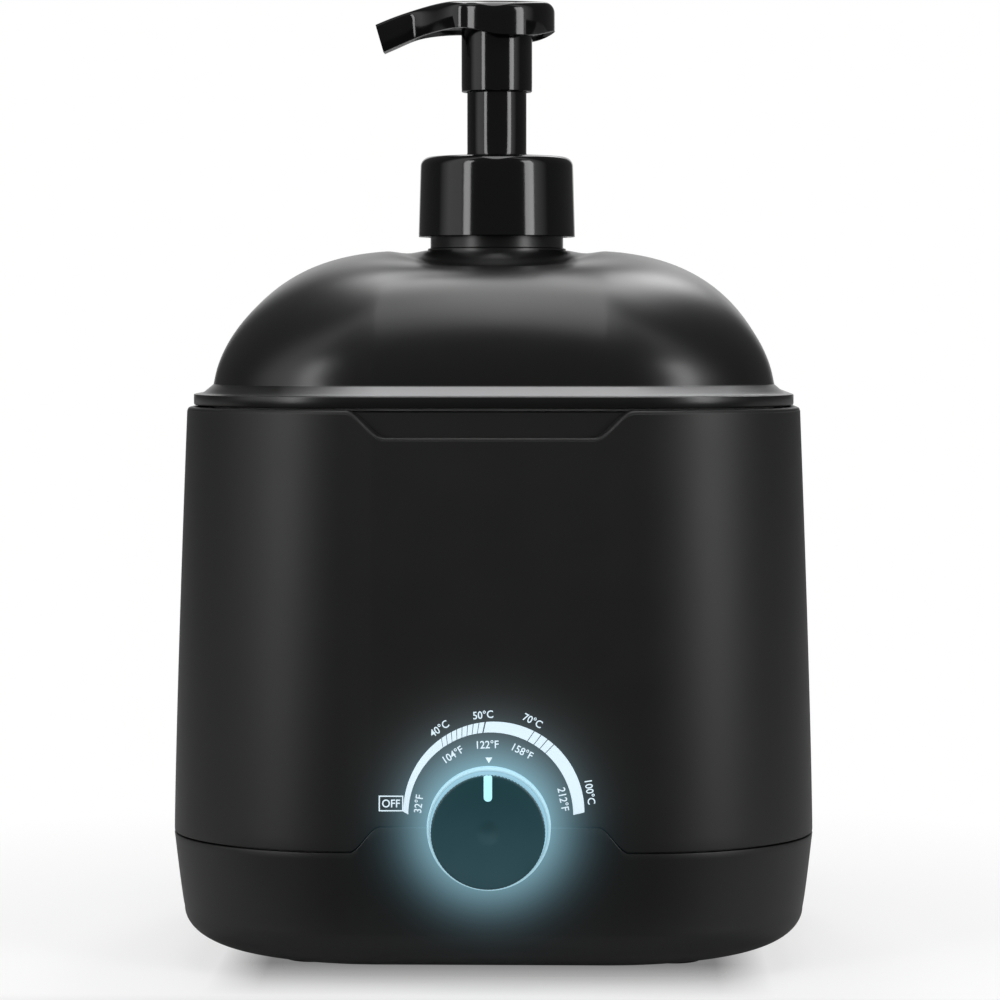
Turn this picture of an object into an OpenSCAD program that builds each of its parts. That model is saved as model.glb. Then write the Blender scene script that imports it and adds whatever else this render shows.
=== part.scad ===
// Hot lather machine: a heated soap tank in a rounded-square housing, a lift-off domed lid
// with a foam pump, and a lit temperature knob on the front. Front is -Y, up is +Z, and the
// machine stands on z = 0. All sizes in millimetres.

/* [Housing] */
// Width and depth at the joint line between the two shells
body_w = 172; // [164:1:180]
// Corner radius of the plan at the joint line
corner_r = 46; // [40:1:52]
// Wall thickness of the moulded shells
wall = 2.6; // [2.2:0.1:3.2]
// Height of the base shell from its underside to the joint line
base_h = 33.5; // [32:0.5:36]
// Height of the upper shell from the joint line to its rim
upper_h = 114; // [110:1:120]
// How far the upper shell draws in on each side by its rim
upper_taper = 3.7; // [3:0.1:4.4]
// How far the base draws in on each side between the joint line and its rounded edge
base_taper = 3.6; // [3:0.1:4]
// Height of the base's rounded lower edge
edge_h = 11.9; // [10:0.1:13]
// Width of the base's rounded lower edge
edge_w = 20.4; // [18:0.1:22]
// Thickness of the base's floor
floor_t = 3; // [2.6:0.1:4]
// Open joint line between the shells
seam_gap = 0.5; // [0.3:0.1:0.8]
// Height of the tongue that closes the joint line from inside
tongue_h = 3; // [2:0.5:4]
// Rise of the base's front tab
tab_h = 6.1; // [4:0.1:8]
// Half width of the tab at its top
tab_half_top = 27.2; // [25:0.1:30]
// Half width of the tab at its foot
tab_half_foot = 35.3; // [33:0.1:38]
// Depth of the finger notch in the upper shell's rim
notch_h = 7; // [5:0.5:8]
// Half width of the notch at its floor
notch_half_floor = 27.1; // [25:0.1:30]
// Half width of the notch at the rim
notch_half_top = 37.2; // [35:0.1:40]

/* [Feet] */
// Radius of a rubber foot
foot_r = 8; // [7:0.5:9]
// How far a foot stands below the base
foot_proud = 2.5; // [1.5:0.5:3.5]
// How deep a foot is set into the base
foot_seat = 1.5; // [1:0.1:2]
// Distance of the feet from the middle, left to right
foot_x = 49; // [46:1:50]
// Distance of the feet from the middle, front to back
foot_y = 43; // [40:1:44]

/* [Deck and tank] */
// Height of the deck's raised step, which the lid sits round
step_h = 1.5; // [1:0.1:2]
// Thickness of the deck
deck_t = 3; // [2.6:0.1:4]
// How much wider the deck's mouth is than the tank, on each side
mouth_step = 2; // [0.8:0.2:3]
// Inner radius of the tank
tank_r = 55; // [50:1:55]
// Thickness of the tank's wall
tank_wall = 1.5; // [1:0.1:2]
// Inner depth of the tank
tank_depth = 87; // [80:1:90]
// Width of the tank's flange beyond its bore
flange_w = 12; // [11:0.5:13]
// Thickness of the felt jacket
jacket_t = 6; // [3:0.5:8]
// Radius of the plate heater
heater_r = 45; // [40:1:50]
// Thickness of the plate heater
heater_t = 6; // [4:0.5:7]

/* [Lid] */
// How far the lid's brim stays inside the rim of the upper shell on each side
brim_inset = 1.7; // [1:0.1:3]
// Thickness of the brim
brim_t = 2.8; // [2.4:0.1:3.4]
// Gap between the upper shell's rim and the brim
lid_gap = 0.4; // [0.3:0.1:0.8]
// Width of the brim round the dome's foot
brim_w = 4.7; // [4.2:0.1:6.5]
// Height of the dome above its foot
dome_h = 38; // [30:0.5:45]
// How much lower the dome is in front and behind than at the sides
dome_dip = 5.5; // [0:0.5:9]
// Depth of the shallow dish round the neck's foot
neck_dish = 0.8; // [0:0.1:1.2]
// Radius of the vent hole
vent_r = 1.4; // [1:0.1:1.8]
// Place of the vent hole to the right of the pump
vent_x = 35.5; // [30:0.5:45]
// Outer radius of the pump's neck
neck_r = 18.65; // [18:0.05:19.2]
// Height of the neck above the dome
neck_h = 19.9; // [19:0.1:22]

/* [Foam pump] */
// Radius of the screw cap
cap_r = 21.6; // [21.4:0.1:23]
// Height of the screw cap
cap_h = 23; // [21.5:0.5:25]
// Gap between the dome and the cap, where the neck shows
cap_lift = 3.9; // [3:0.1:4.6]
// Outer radius of the guide chimney
chimney_r = 8.2; // [8:0.1:8.6]
// Stroke of the pump
stroke = 17; // [12:1:17]
// Outer radius of the head's skirt
skirt_r = 9.8; // [9.6:0.1:10.4]
// Radius of the pump's stem
stem_r = 5.5; // [5:0.1:5.6]
// Outer radius of the air chamber
air_r = 15.5; // [14:0.1:15.8]
// Inner radius of the liquid chamber
liquid_r = 5; // [4.6:0.1:5.4]
// Radius of the dip tube
dip_r = 2.6; // [2.2:0.1:3]
// Length of the head from stem to the end of the spout
spout_reach = 32.7; // [28:0.5:38]
// Length of the head behind the stem
head_back = 16.4; // [15:0.1:18]
// Half width of the press head
head_half = 16.5; // [14:0.1:17]
// Height of the press head above the skirt's lower edge
head_rise = 24.8; // [24.4:0.1:26]
// Bore of the spout
spout_bore_r = 1.5; // [1.2:0.1:1.6]
// Turns of the pump's spring
spring_turns = 8; // [6:1:10]
// Radius of the spring's wire
spring_wire_r = 0.5; // [0.4:0.05:0.6]

/* [Control] */
// Height of the knob above the joint line
knob_rise = 5.7; // [4:0.1:7]
// Radius of the knob
knob_r = 14.8; // [13.5:0.1:15.4]
// How far the knob stands out from the front
knob_proud = 8.5; // [7:0.5:10]
// Length of the pointer bar on the knob's face
pointer_l = 6.7; // [5:0.1:8]
// Width of the pointer bar
pointer_w = 2.1; // [1.6:0.1:2.6]
// Outer radius of the light ring
ring_r = 16.3; // [15.8:0.1:17]
// Radius of the dial's shaft
shaft_r = 3; // [2.5:0.1:3.2]
// Ribs round the knob
knob_ribs = 40; // [30:2:48]

/* [Mains inlet] */
// Width of the inlet's body
inlet_w = 22; // [20:0.5:24]
// Height of the inlet's body
inlet_h = 12; // [11:0.5:13]
// Width of the socket
socket_w = 17.5; // [16.5:0.1:18]
// Height of the socket
socket_h = 8.6; // [8:0.1:9]
// Depth of the socket
socket_d = 12; // [10:0.5:13]
// Distance between the pins
pin_pitch = 8.6; // [8:0.1:9]
// Radius of a pin
pin_r = 1.2; // [1:0.05:1.4]

/* [Hidden] */
$fn = 48;

// Clearances
fit = 0.1;          // pieces of one body that are pushed together
run = 0.4;          // pieces that slide or turn past each other
touch = 0.3;        // moving pieces that rest on each other
screw_fit = 0.05;
bite = 0.5;         // how far fused pieces run into each other

// Heights
floor_z = foot_proud;
seam_z = floor_z + base_h;
edge_z = floor_z + edge_h;
rim_z = seam_z + upper_h;
deck_z = rim_z - 0.6;
brim_z = rim_z + lid_gap;
dome_z = brim_z + brim_t + 1.5;
neck_z = dome_z + dome_h;
neck_top = neck_z + neck_h;
cap_z = neck_z + cap_lift;
cap_top = cap_z + cap_h;
skirt_z = cap_top + stroke + 1;
head_top = skirt_z + head_rise;
knob_z = seam_z + knob_rise;
flange_t = 1.2;
gasket_t = 1;
tank_top = deck_z - deck_t - gasket_t;
tank_floor = tank_top - tank_depth;
tank_base = tank_floor - 2;
heater_z = tank_base - heater_t;

// Plan
seam_half = body_w / 2;
rim_half = seam_half - upper_taper;
brim_half = rim_half - brim_inset;
dome_half = brim_half - brim_w;
edge_half = seam_half - base_taper;
mouth_r = tank_r + mouth_step;
flange_r = tank_r + flange_w;
corner_share = corner_r / seam_half;
// The knob stands out in front, so the machine's middle lies half of that behind the origin
ring_proud = 0.3;
middle_y = (knob_proud + ring_proud) / 2;

// Front stack behind the knob, as distances from the machine's middle
face_y = -seam_half;
ring_y = face_y - ring_proud;
knob_back_y = ring_y - run;
knob_front_y = ring_y - knob_proud;
light_board_y = ring_y + 5.7;
board_t = 1.6;
bracket_y = light_board_y + board_t;
bracket_t = 1.6;
control_y = bracket_y + bracket_t;
nut_t = 1.8;

// Foam pump
gasket_z = neck_top + touch;
pump_gasket_t = 0.9;
pump_flange_z = gasket_z + pump_gasket_t;
pump_flange_t = 2.6;
cap_ceiling = pump_flange_z + pump_flange_t + touch;
cap_bore_r = neck_r + 1.25;
neck_wall = 2.35;
neck_bore_r = neck_r - neck_wall;
air_wall = 1.2;
air_floor = neck_z - 12.3;
air_floor_t = 2;
liquid_wall = 1.4;
liquid_floor = air_floor - 42;
valve_r = 2;
valve_hole_r = 1.3;
dip_end = tank_floor + 4;
chimney_wall = 1.2;
chimney_top = skirt_z + 2.4;
skirt_wall = 1.2;
socket_r = stem_r + 1.1;
annulus_top = chimney_top + stroke + run;
stem_top = annulus_top - 1;
stem_bore_r = stem_r - 1.3;
stem_foot = air_floor + air_floor_t + stroke + 1;
piston_t = 5.5;
piston_z = pump_flange_z - 1.3 - piston_t;
liquid_piston_t = 6;
liquid_piston_z = air_floor - 8;
spring_z = liquid_floor + 3;
rod_r = 3.2;

// Screws and bosses
screw_r = 1.5;
screw_head_r = 3.3;
screw_head_t = 2.4;
post_r = 5.5;
boss_r = 4.5;
post_top = seam_z - 5;
boss_z = post_top + 0.2;
boss_top = seam_z + 10;
web_z = seam_z + tongue_h + 1;
head_z = post_top - 3;

// Control board on the base's floor
board_x = 80;
board_y = 50;
board_middle = 11;
board_z = 16;
standoff_x = 35;
standoff_y = 20;
small_screw_r = 1.1;

// Panel bracket
bracket_w = 34;
bracket_foot_z = floor_z + floor_t + 4;
bracket_step_y = -60;
bracket_step_z = seam_z - 12;
bracket_foot_end = -46;
bracket_screw_x = 11;
bracket_screw_y = -53;

// Mains inlet
inlet_z = 18;
inlet_y = edge_half - 0.2;
inlet_d = 20;

// Columns of the plan: closest where the tab and the notch curve
front_from = min(tab_half_top, notch_half_floor) / seam_half - 0.004;
front_to = max(tab_half_foot / seam_half, notch_half_top / rim_half) + 0.004;
front_steps = 6;
arc_steps = 8;
front_right = concat([0.15], [for (i = [0:front_steps])
    front_from + (front_to - front_from) * i / front_steps], [1 - corner_share]);
front_line = concat([for (i = [len(front_right) - 1:-1:0]) -front_right[i]], [0], front_right);

function turn(p, q) = q == 0 ? p : turn([-p[1], p[0]], q - 1);
function corner(q) = [for (i = [1:arc_steps]) let (a = 90 * i / arc_steps, m = 1 - corner_share)
    turn([m + corner_share * sin(a), -m - corner_share * cos(a)], q)];
// The plan at half width 1, going round from the front left corner against the clock
plan = concat([for (u = front_line) [u, -1]], corner(0),
    [turn([1 - corner_share, -1], 1)], corner(1),
    [turn([1 - corner_share, -1], 2)], corner(2),
    [turn([1 - corner_share, -1], 3)],
    [for (p = corner(3)) if (norm(p - [front_line[0], -1]) > 0.001) p]);

function s_curve(t) = let (c = min(max(t, 0), 1)) c * c * (3 - 2 * c);
// Rise of the joint line at a place on the plan
function tab_rise(p) = p[1] > -0.99 ? 0 :
    tab_h * s_curve((tab_half_foot - abs(p[0]) * seam_half) / (tab_half_foot - tab_half_top));
// Drop of the upper shell's rim at a place on the plan
function notch_drop(p) = p[1] > -0.99 ? 0 :
    notch_h * s_curve((notch_half_top - abs(p[0]) * rim_half) / (notch_half_top - notch_half_floor));
// Half width of the upper shell at height z
function upper_half(z) = seam_half - upper_taper * pow(max(0, z - seam_z) / upper_h, 1.25);
// Quarter ellipse of the base's lower edge, from the floor up, drawn in by a wall t
function edge_arc(t, t_floor, steps) = [for (i = [0:steps]) let (a = 90 * i / steps)
    [edge_half - edge_w + (edge_w - t) * sin(a), edge_z - (edge_h - t_floor) * cos(a)]];

// A wall round the plan: rows[i] lists [half width, z] round the wall's section at column i
module wall_ring(rows) {
    m = len(rows[0]);
    n = len(plan);
    polyhedron(
        [for (i = [0:n - 1]) for (p = rows[i]) [plan[i][0] * p[0], plan[i][1] * p[0], p[1]]],
        ring_faces(n, m));
}
function ring_faces(n, m) = [for (i = [0:n - 1]) for (j = [0:m - 1])
    let (k = (i + 1) % n, l = (j + 1) % m, a = i * m + j, b = i * m + l, c = k * m + l, d = k * m + j)
    each [[a, b, c], [a, c, d]]];
// A plate of the plan's outline with true round corners, from z0 to z1
module plan_plate(half, z0, z1) {
    flat = half * (1 - corner_share);
    translate([0, 0, z0]) linear_extrude(z1 - z0) {
        square([2 * half, 2 * flat], center = true);
        square([2 * flat, 2 * half], center = true);
        for (x = [-flat, flat], y = [-flat, flat])
            translate([x, y]) circle(r = half * corner_share);
    }
}

// Everything is drawn round the pump's axis and set back so that the origin is the middle
// of the footprint
module placed() {
    translate([0, middle_y, 0]) children();
}
module tube(r, bore, z0, z1) {
    translate([0, 0, z0]) difference() {
        cylinder(r = r, h = z1 - z0);
        translate([0, 0, -1]) cylinder(r = bore, h = z1 - z0 + 2);
    }
}
module rod(r, z0, z1) {
    translate([0, 0, z0]) cylinder(r = r, h = z1 - z0);
}
// A cylinder along the depth, from y0 back to y1
module bar_y(r, y0, y1) {
    translate([0, y0, 0]) rotate([-90, 0, 0]) cylinder(r = r, h = y1 - y0);
}
// A screw with its head down and its tip up
module screw(r, z_head, z_tip, head_r, head_t) {
    rod(head_r, z_head - head_t, z_head);
    rod(r, z_head - bite, z_tip);
}
module hex_nut(r, bore, z0, z1) {
    difference() {
        translate([0, 0, z0]) cylinder(r = r, h = z1 - z0, $fn = 6);
        translate([0, 0, z0 - 1]) cylinder(r = bore, h = z1 - z0 + 2);
    }
}
module at_feet() {
    for (x = [-foot_x, foot_x], y = [-foot_y, foot_y]) translate([x, y, 0]) children();
}

// Lower shell: a tub with a raised front tab, screw posts over the feet, standoffs, and
// openings for the light ring and the mains inlet
module base_shell() {
    color([0.16, 0.16, 0.16]) placed() difference() {
        union() {
            wall_ring([for (p = plan) let (top = seam_z + tab_rise(p)) concat(
                [[floor_half, floor_z]],
                edge_arc(0, 0, 6),
                [[seam_half, top], [seam_half - wall * 0.55, top],
                 [seam_half - wall * 0.55, top + tongue_h], [seam_half - wall, top + tongue_h]],
                reverse(edge_arc(wall, floor_t, 5)),
                [[floor_half, floor_z + floor_t]])]);
            plan_plate(floor_half + 2, floor_z + 0.2, floor_z + floor_t - 0.2);
            at_feet() rod(post_r, floor_z + floor_t - bite, post_top);
            for (x = [-standoff_x, standoff_x], y = [-standoff_y, standoff_y])
                translate([x, board_middle + y, 0]) rod(3.5, floor_z + floor_t - bite, board_z);
            for (x = [-bracket_screw_x, bracket_screw_x])
                translate([x, bracket_screw_y, 0])
                    rod(4, floor_z + floor_t - bite, bracket_foot_z);
        }
        at_feet() {
            rod(foot_r + fit, floor_z - 1, floor_z + foot_seat);
            rod(screw_head_r + 0.4, floor_z, head_z);
            rod(screw_r + 0.3, floor_z, post_top + 1);
        }
        for (x = [-standoff_x, standoff_x], y = [-standoff_y, standoff_y])
            translate([x, board_middle + y, 0])
                rod(small_screw_r, floor_z + floor_t, board_z + 1);
        for (x = [-bracket_screw_x, bracket_screw_x]) translate([x, bracket_screw_y, 0])
            rod(screw_r, floor_z + 1.5, bracket_foot_z + 1);
        translate([0, 0, knob_z]) bar_y(ring_r + fit, face_y - 5, face_y + 12);
        translate([-inlet_w / 2 - fit, inlet_y - inlet_d, inlet_z - inlet_h / 2 - fit])
            cube([inlet_w + 2 * fit, 2 * inlet_d, inlet_h + 2 * fit]);
        for (i = [-3:3]) translate([6 * i - 1.25, 40, floor_z - 1]) cube([2.5, 15, floor_t + 2]);
    }
}
function reverse(v) = [for (i = [len(v) - 1:-1:0]) v[i]];
floor_half = edge_half - edge_w - 4;

// Upper shell: the tall wall with the finger notch, a ledge for the deck and screw bosses
module upper_shell() {
    color([0.13, 0.13, 0.13]) placed() difference() {
        union() {
            wall_ring([for (p = plan) let (
                foot = seam_z + tab_rise(p) + seam_gap,
                top = rim_z - notch_drop(p),
                ledge = deck_z - ledge_drop) concat(
                [[upper_half(foot), foot]],
                [for (s = [0.16, 0.4, 0.65, 0.9]) let (z = seam_z + s * upper_h) [upper_half(z), z]],
                [[upper_half(top) - 0.1, top - 0.9], [upper_half(top) - 0.4, top - 0.3],
                 [upper_half(top) - 1.1, top], [upper_half(top) - wall, top],
                 [upper_half(ledge) - wall, ledge], [upper_half(ledge) - wall - 1.8, ledge],
                 [upper_half(ledge) - wall - 1.8, ledge - 2.5],
                 [upper_half(ledge) - wall, ledge - 4.5],
                 [upper_half(foot + tongue_h) - wall, foot + tongue_h + 0.2],
                 [upper_half(foot) - wall * 0.45, foot + tongue_h + 0.2],
                 [upper_half(foot) - wall * 0.45, foot]])]);
            at_feet() rod(boss_r, boss_z, boss_top);
            for (x = [-1, 1], y = [-foot_y, foot_y])
                translate([x > 0 ? foot_x : -upper_half(web_z) + wall / 2, y - 1.5, web_z])
                    cube([upper_half(web_z) - wall / 2 - foot_x, 3, boss_top - web_z]);
        }
        at_feet() rod(screw_r, boss_z - 1, boss_top - 2);
        translate([0, 0, knob_z]) bar_y(ring_r + fit, face_y - 5, face_y + 12);
    }
}
ledge_drop = 10.4;

// Deck round the tank's mouth, with the step that the lid sits round
module well_collar() {
    skirt = rim_half - wall - fit;
    color([0.10, 0.10, 0.10]) placed() difference() {
        union() {
            difference() {
                plan_plate(skirt, deck_z - ledge_drop, deck_z);
                plan_plate(skirt - 2.4, deck_z - ledge_drop - 1, deck_z - deck_t);
            }
            plan_plate(step_half, deck_z - 1, deck_z + step_h);
            for (a = [45:90:315]) rotate(a) translate([tank_screw_r, 0, 0])
                rod(3.6, tank_top, deck_z - deck_t + bite);
        }
        rod(mouth_r, deck_z - deck_t - 5, deck_z + step_h + 1);
        for (a = [45:90:315]) rotate(a) translate([tank_screw_r, 0, 0])
            rod(screw_r, tank_top - 1, deck_z + step_h - 1.5);
    }
}
step_half = dome_half - wall - 0.8;
tank_screw_r = flange_r - 3.6;

module foot(x, y) {
    color([0.05, 0.05, 0.05]) placed() translate([x, y, 0]) rotate_extrude() polygon([
        [0, 0], [foot_r - 0.8, 0], [foot_r, 0.8], [foot_r, foot_proud + foot_seat],
        [0, foot_proud + foot_seat]]);
}
module foot_front_left() { foot(-foot_x, -foot_y); }
module foot_front_right() { foot(foot_x, -foot_y); }
module foot_rear_left() { foot(-foot_x, foot_y); }
module foot_rear_right() { foot(foot_x, foot_y); }

module shell_screws() {
    color([0.7, 0.7, 0.72]) placed() at_feet()
        screw(screw_r - screw_fit, head_z, boss_top - 4, screw_head_r, screw_head_t);
}

// Drawn aluminium tank with a rounded floor, a flange at its mouth and a stud under it
module tank() {
    bend = 8;
    outer = tank_r + tank_wall;
    color([0.75, 0.76, 0.78]) placed() difference() {
        union() {
            rotate_extrude() polygon(concat(
                [[0, tank_base], [outer - bend, tank_base]],
                [for (a = [15:15:90]) [outer - bend + bend * sin(a), tank_base + bend * (1 - cos(a))]],
                [[outer, tank_top - flange_t], [flange_r, tank_top - flange_t],
                 [flange_r, tank_top], [tank_r, tank_top]],
                [for (a = [90:-15:0]) [tank_r - bend + bend * sin(a), tank_floor + bend * (1 - cos(a))]],
                [[0, tank_floor]]));
            rod(stud_r, tank_base - heater_t - 8, tank_base + 0.5);
        }
        for (a = [45:90:315]) rotate(a) translate([tank_screw_r, 0, 0])
            rod(screw_r + 0.3, tank_top - 5, tank_top + 1);
    }
}
stud_r = 2.5;

module tank_gasket() {
    color([0.85, 0.35, 0.2]) placed() tube(mouth_r + 2.2, tank_r, tank_top, deck_z - deck_t);
}

module tank_screws() {
    color([0.7, 0.7, 0.72]) placed() for (a = [45:90:315]) rotate(a)
        translate([tank_screw_r, 0, 0]) screw(screw_r - screw_fit, tank_top - flange_t,
            deck_z + step_h - 2, 2.8, 1.8);
}

module tank_jacket() {
    outer = tank_r + tank_wall;
    color([0.8, 0.78, 0.7]) placed()
        tube(outer + jacket_t, outer, tank_base + 8, tank_top - flange_t - 6);
}

// Plate heater with openings for the stud and the temperature sensor
module heater() {
    color([0.6, 0.6, 0.62]) placed() difference() {
        rod(heater_r, heater_z, tank_base);
        rod(stud_r + 1, heater_z - 1, tank_base + 1);
        translate([-sensor_x, 0, 0]) rod(sensor_r + 0.5, heater_z - 1, tank_base + 1);
    }
}
sensor_x = 30;
sensor_r = 4;
clamp_t = 1.5;

module heater_clamp() {
    color([0.55, 0.55, 0.57]) placed() tube(22, stud_r + fit, heater_z - clamp_t, heater_z);
}

module heater_nut() {
    color([0.7, 0.68, 0.5]) placed()
        hex_nut(4.6, stud_r, heater_z - clamp_t - 3.5, heater_z - clamp_t);
}

module thermal_fuse() {
    fuse_r = 2.5;
    color([0.85, 0.85, 0.85]) placed() translate([-7, 34, heater_z - fuse_r])
        rotate([0, 90, 0]) cylinder(r = fuse_r, h = 14);
}

module temperature_sensor() {
    color([0.8, 0.7, 0.3]) placed() translate([-sensor_x, 0, 0])
        rod(sensor_r, heater_z - 2, tank_base);
}

module control_board() {
    color([0.1, 0.35, 0.2]) placed() difference() {
        translate([-board_x / 2, board_middle - board_y / 2, board_z])
            cube([board_x, board_y, board_t]);
        for (x = [-standoff_x, standoff_x], y = [-standoff_y, standoff_y])
            translate([x, board_middle + y, 0]) rod(small_screw_r + 0.2, board_z - 1, board_z + 3);
    }
}

module board_parts() {
    top = board_z + board_t;
    color([0.15, 0.2, 0.55]) placed() translate([0, board_middle, top]) {
        translate([12, -1, 0]) cube([19, 15, 15.5]);
        translate([-30, -3, 0]) cube([22, 20, 18]);
        translate([2, 15, 0]) rod(4.5, 0, 18);
        translate([-26, -17, 0]) cube([20, 8, 10]);
    }
}

module board_screws() {
    top = board_z + board_t;
    color([0.7, 0.7, 0.72]) placed()
        for (x = [-standoff_x, standoff_x], y = [-standoff_y, standoff_y])
            translate([x, board_middle + y, 0]) {
                rod(2.3, top, top + 1.6);
                rod(small_screw_r - screw_fit, board_z - 6, top + bite);
            }
}

// Folded sheet bracket: foot on the base's floor, a leg, a step forward and an upright plate
module panel_bracket() {
    t = bracket_t;
    color([0.65, 0.66, 0.68]) placed() difference() {
        rotate([90, 0, 90]) translate([0, 0, -bracket_w / 2]) linear_extrude(bracket_w) polygon([
            [bracket_foot_end, bracket_foot_z], [bracket_foot_end, bracket_foot_z + t],
            [bracket_step_y + t, bracket_foot_z + t], [bracket_step_y + t, bracket_step_z + t],
            [bracket_y + t, bracket_step_z + t], [bracket_y + t, knob_z + 14],
            [bracket_y, knob_z + 14], [bracket_y, bracket_step_z],
            [bracket_step_y, bracket_step_z], [bracket_step_y, bracket_foot_z]]);
        translate([0, 0, knob_z]) bar_y(bush_r + fit, bracket_y - 1, bracket_y + t + 1);
        for (x = [-bracket_screw_x, bracket_screw_x]) translate([x, bracket_screw_y, 0])
            rod(screw_r + 0.2, bracket_foot_z - 1, bracket_foot_z + t + 1);
    }
}
bush_r = shaft_r + 1.6;

module bracket_screws() {
    top = bracket_foot_z + bracket_t;
    color([0.7, 0.7, 0.72]) placed() for (x = [-bracket_screw_x, bracket_screw_x])
        translate([x, bracket_screw_y, 0]) {
            rod(2.8, top, top + 1.8);
            rod(screw_r - screw_fit, floor_z + 2, top + bite);
        }
}

// Rotary control: a round case with a threaded bush that the shaft turns in
module dial_control() {
    color([0.3, 0.3, 0.32]) placed() translate([0, 0, knob_z]) difference() {
        union() {
            bar_y(8.5, control_y, control_y + 11);
            bar_y(bush_r, light_board_y - nut_t - 2, control_y + bite);
        }
        bar_y(shaft_r + shaft_run, light_board_y - nut_t - 3, control_y + 6.5);
    }
}
shaft_run = 0.08;

module dial_nut() {
    color([0.75, 0.7, 0.5]) placed() translate([0, light_board_y, knob_z]) rotate([90, 0, 0])
        hex_nut(7.2, bush_r, 0, nut_t);
}

module light_board() {
    color([0.1, 0.35, 0.2]) placed() difference() {
        translate([-light_board_half, light_board_y, knob_z - light_board_half])
            cube([2 * light_board_half, board_t, 2 * light_board_half]);
        translate([0, 0, knob_z]) bar_y(bush_r + 0.3, light_board_y - 1, bracket_y + 1);
    }
}
light_board_half = 15.5;
ring_bore = 12.3;
diode_circle = (ring_r + ring_bore) / 2;
diode_pocket = 1.2;

module light_diodes() {
    color([0.9, 0.95, 1]) placed() translate([0, light_board_y, knob_z])
        for (a = [0:45:315]) rotate([0, a, 0])
            translate([-1.1, -0.9, diode_circle - 1.1]) cube([2.2, 0.9, 2.2]);
}

// Translucent ring behind the knob, grooved at the back over the diodes
module light_ring() {
    color([0.6, 0.85, 0.95]) placed() translate([0, 0, knob_z]) difference() {
        bar_y(ring_r, ring_y, light_board_y);
        bar_y(ring_bore, ring_y - 1, light_board_y + 1);
        difference() {
            bar_y(diode_circle + 1.7, light_board_y - diode_pocket, light_board_y + 1);
            bar_y(diode_circle - 1.7, light_board_y - diode_pocket - 1, light_board_y + 2);
        }
    }
}

// Mains inlet: a block behind the back wall with ears inside it and a socket with round ends
module power_inlet() {
    ear = 4;
    color([0.08, 0.08, 0.08]) placed() translate([0, 0, inlet_z]) difference() {
        union() {
            translate([-inlet_w / 2, inlet_y - inlet_d, -inlet_h / 2])
                cube([inlet_w, inlet_d, inlet_h]);
            translate([-inlet_w / 2 - ear, inlet_y - wall - 3.6, -inlet_h / 2])
                cube([inlet_w + 2 * ear, 2, inlet_h]);
        }
        for (x = [-1, 1]) translate([x * (socket_w - socket_h) / 2, 0, 0])
            bar_y(socket_h / 2, inlet_y - socket_d, inlet_y + 1);
        translate([-(socket_w - socket_h) / 2, inlet_y - socket_d, -socket_h / 2])
            cube([socket_w - socket_h, socket_d + 1, socket_h]);
        for (x = [-1, 1]) translate([x * pin_pitch / 2, 0, 0])
            bar_y(pin_r, inlet_y - inlet_d - 1, inlet_y - socket_d + 1);
    }
}

module inlet_pins() {
    color([0.85, 0.8, 0.55]) placed() for (x = [-1, 1])
        translate([x * pin_pitch / 2, 0, inlet_z])
            bar_y(pin_r, inlet_y - inlet_d - pin_tail, inlet_y - 2);
}
pin_tail = 5;

// A wire: an eight-sided tube swept along a smooth curve through hand-chosen points
function mix3(a, b, c, d, t) = 0.5 * (2 * b + (c - a) * t + (2 * a - 5 * b + 4 * c - d) * t * t
    + (3 * b - a - 3 * c + d) * t * t * t);
function smooth_route(p, steps) = let (n = len(p)) concat(
    [for (i = [0:n - 2]) for (k = [0:steps - 1])
        mix3(p[max(i - 1, 0)], p[i], p[i + 1], p[min(i + 2, n - 1)], k / steps)], [p[n - 1]]);
function unit(v) = v / norm(v);
module sweep(path, r, sides, first, last) {
    n = len(path);
    side = [1, 0.02, 0.01];
    points = [for (i = [0:n - 1]) let (
        along = i == 0 ? first : i == n - 1 ? last : unit(path[i + 1] - path[i - 1]),
        u = unit(cross(along, side)),
        v = cross(along, u))
        for (k = [0:sides - 1]) path[i] + r * (cos(360 * k / sides) * u + sin(360 * k / sides) * v)];
    polyhedron(points, concat(
        [for (i = [0:n - 2]) for (k = [0:sides - 1])
            let (a = i * sides + k, b = i * sides + (k + 1) % sides) each
            [[a, b + sides, b], [a, a + sides, b + sides]]],
        [for (k = [1:sides - 2]) [0, k, k + 1]],
        [for (k = [1:sides - 2]) [(n - 1) * sides, (n - 1) * sides + k + 1, (n - 1) * sides + k]]));
}
lead_r = 1.1;

module inlet_leads() {
    start_y = inlet_y - inlet_d - pin_tail;
    color([0.2, 0.2, 0.6]) placed() for (x = [-1, 1])
        sweep(smooth_route([[x * pin_pitch / 2, start_y, inlet_z],
            [x * pin_pitch / 2, start_y - 5, inlet_z + 1], [x * 7, 46, inlet_z + 10],
            [x * 12, 34, inlet_z + 10], [x * 13, 31, inlet_z + 5],
            [x * 13, 31, board_z + board_t]], 3), lead_r, 8, [0, -1, 0], [0, 0, -1]);
}

module heater_leads() {
    color([0.75, 0.2, 0.15]) placed() for (x = [-1, 1])
        sweep(smooth_route([[x * 4, -8, board_z + board_t], [x * 4, -8, board_z + 8],
            [x * 12, -12, board_z + 18], [x * 26, -20, heater_z - 8],
            [x * 28, -22, heater_z - 3], [x * 28, -22, heater_z]], 3),
            lead_r, 8, [0, 0, 1], [0, 0, 1]);
}

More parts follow.
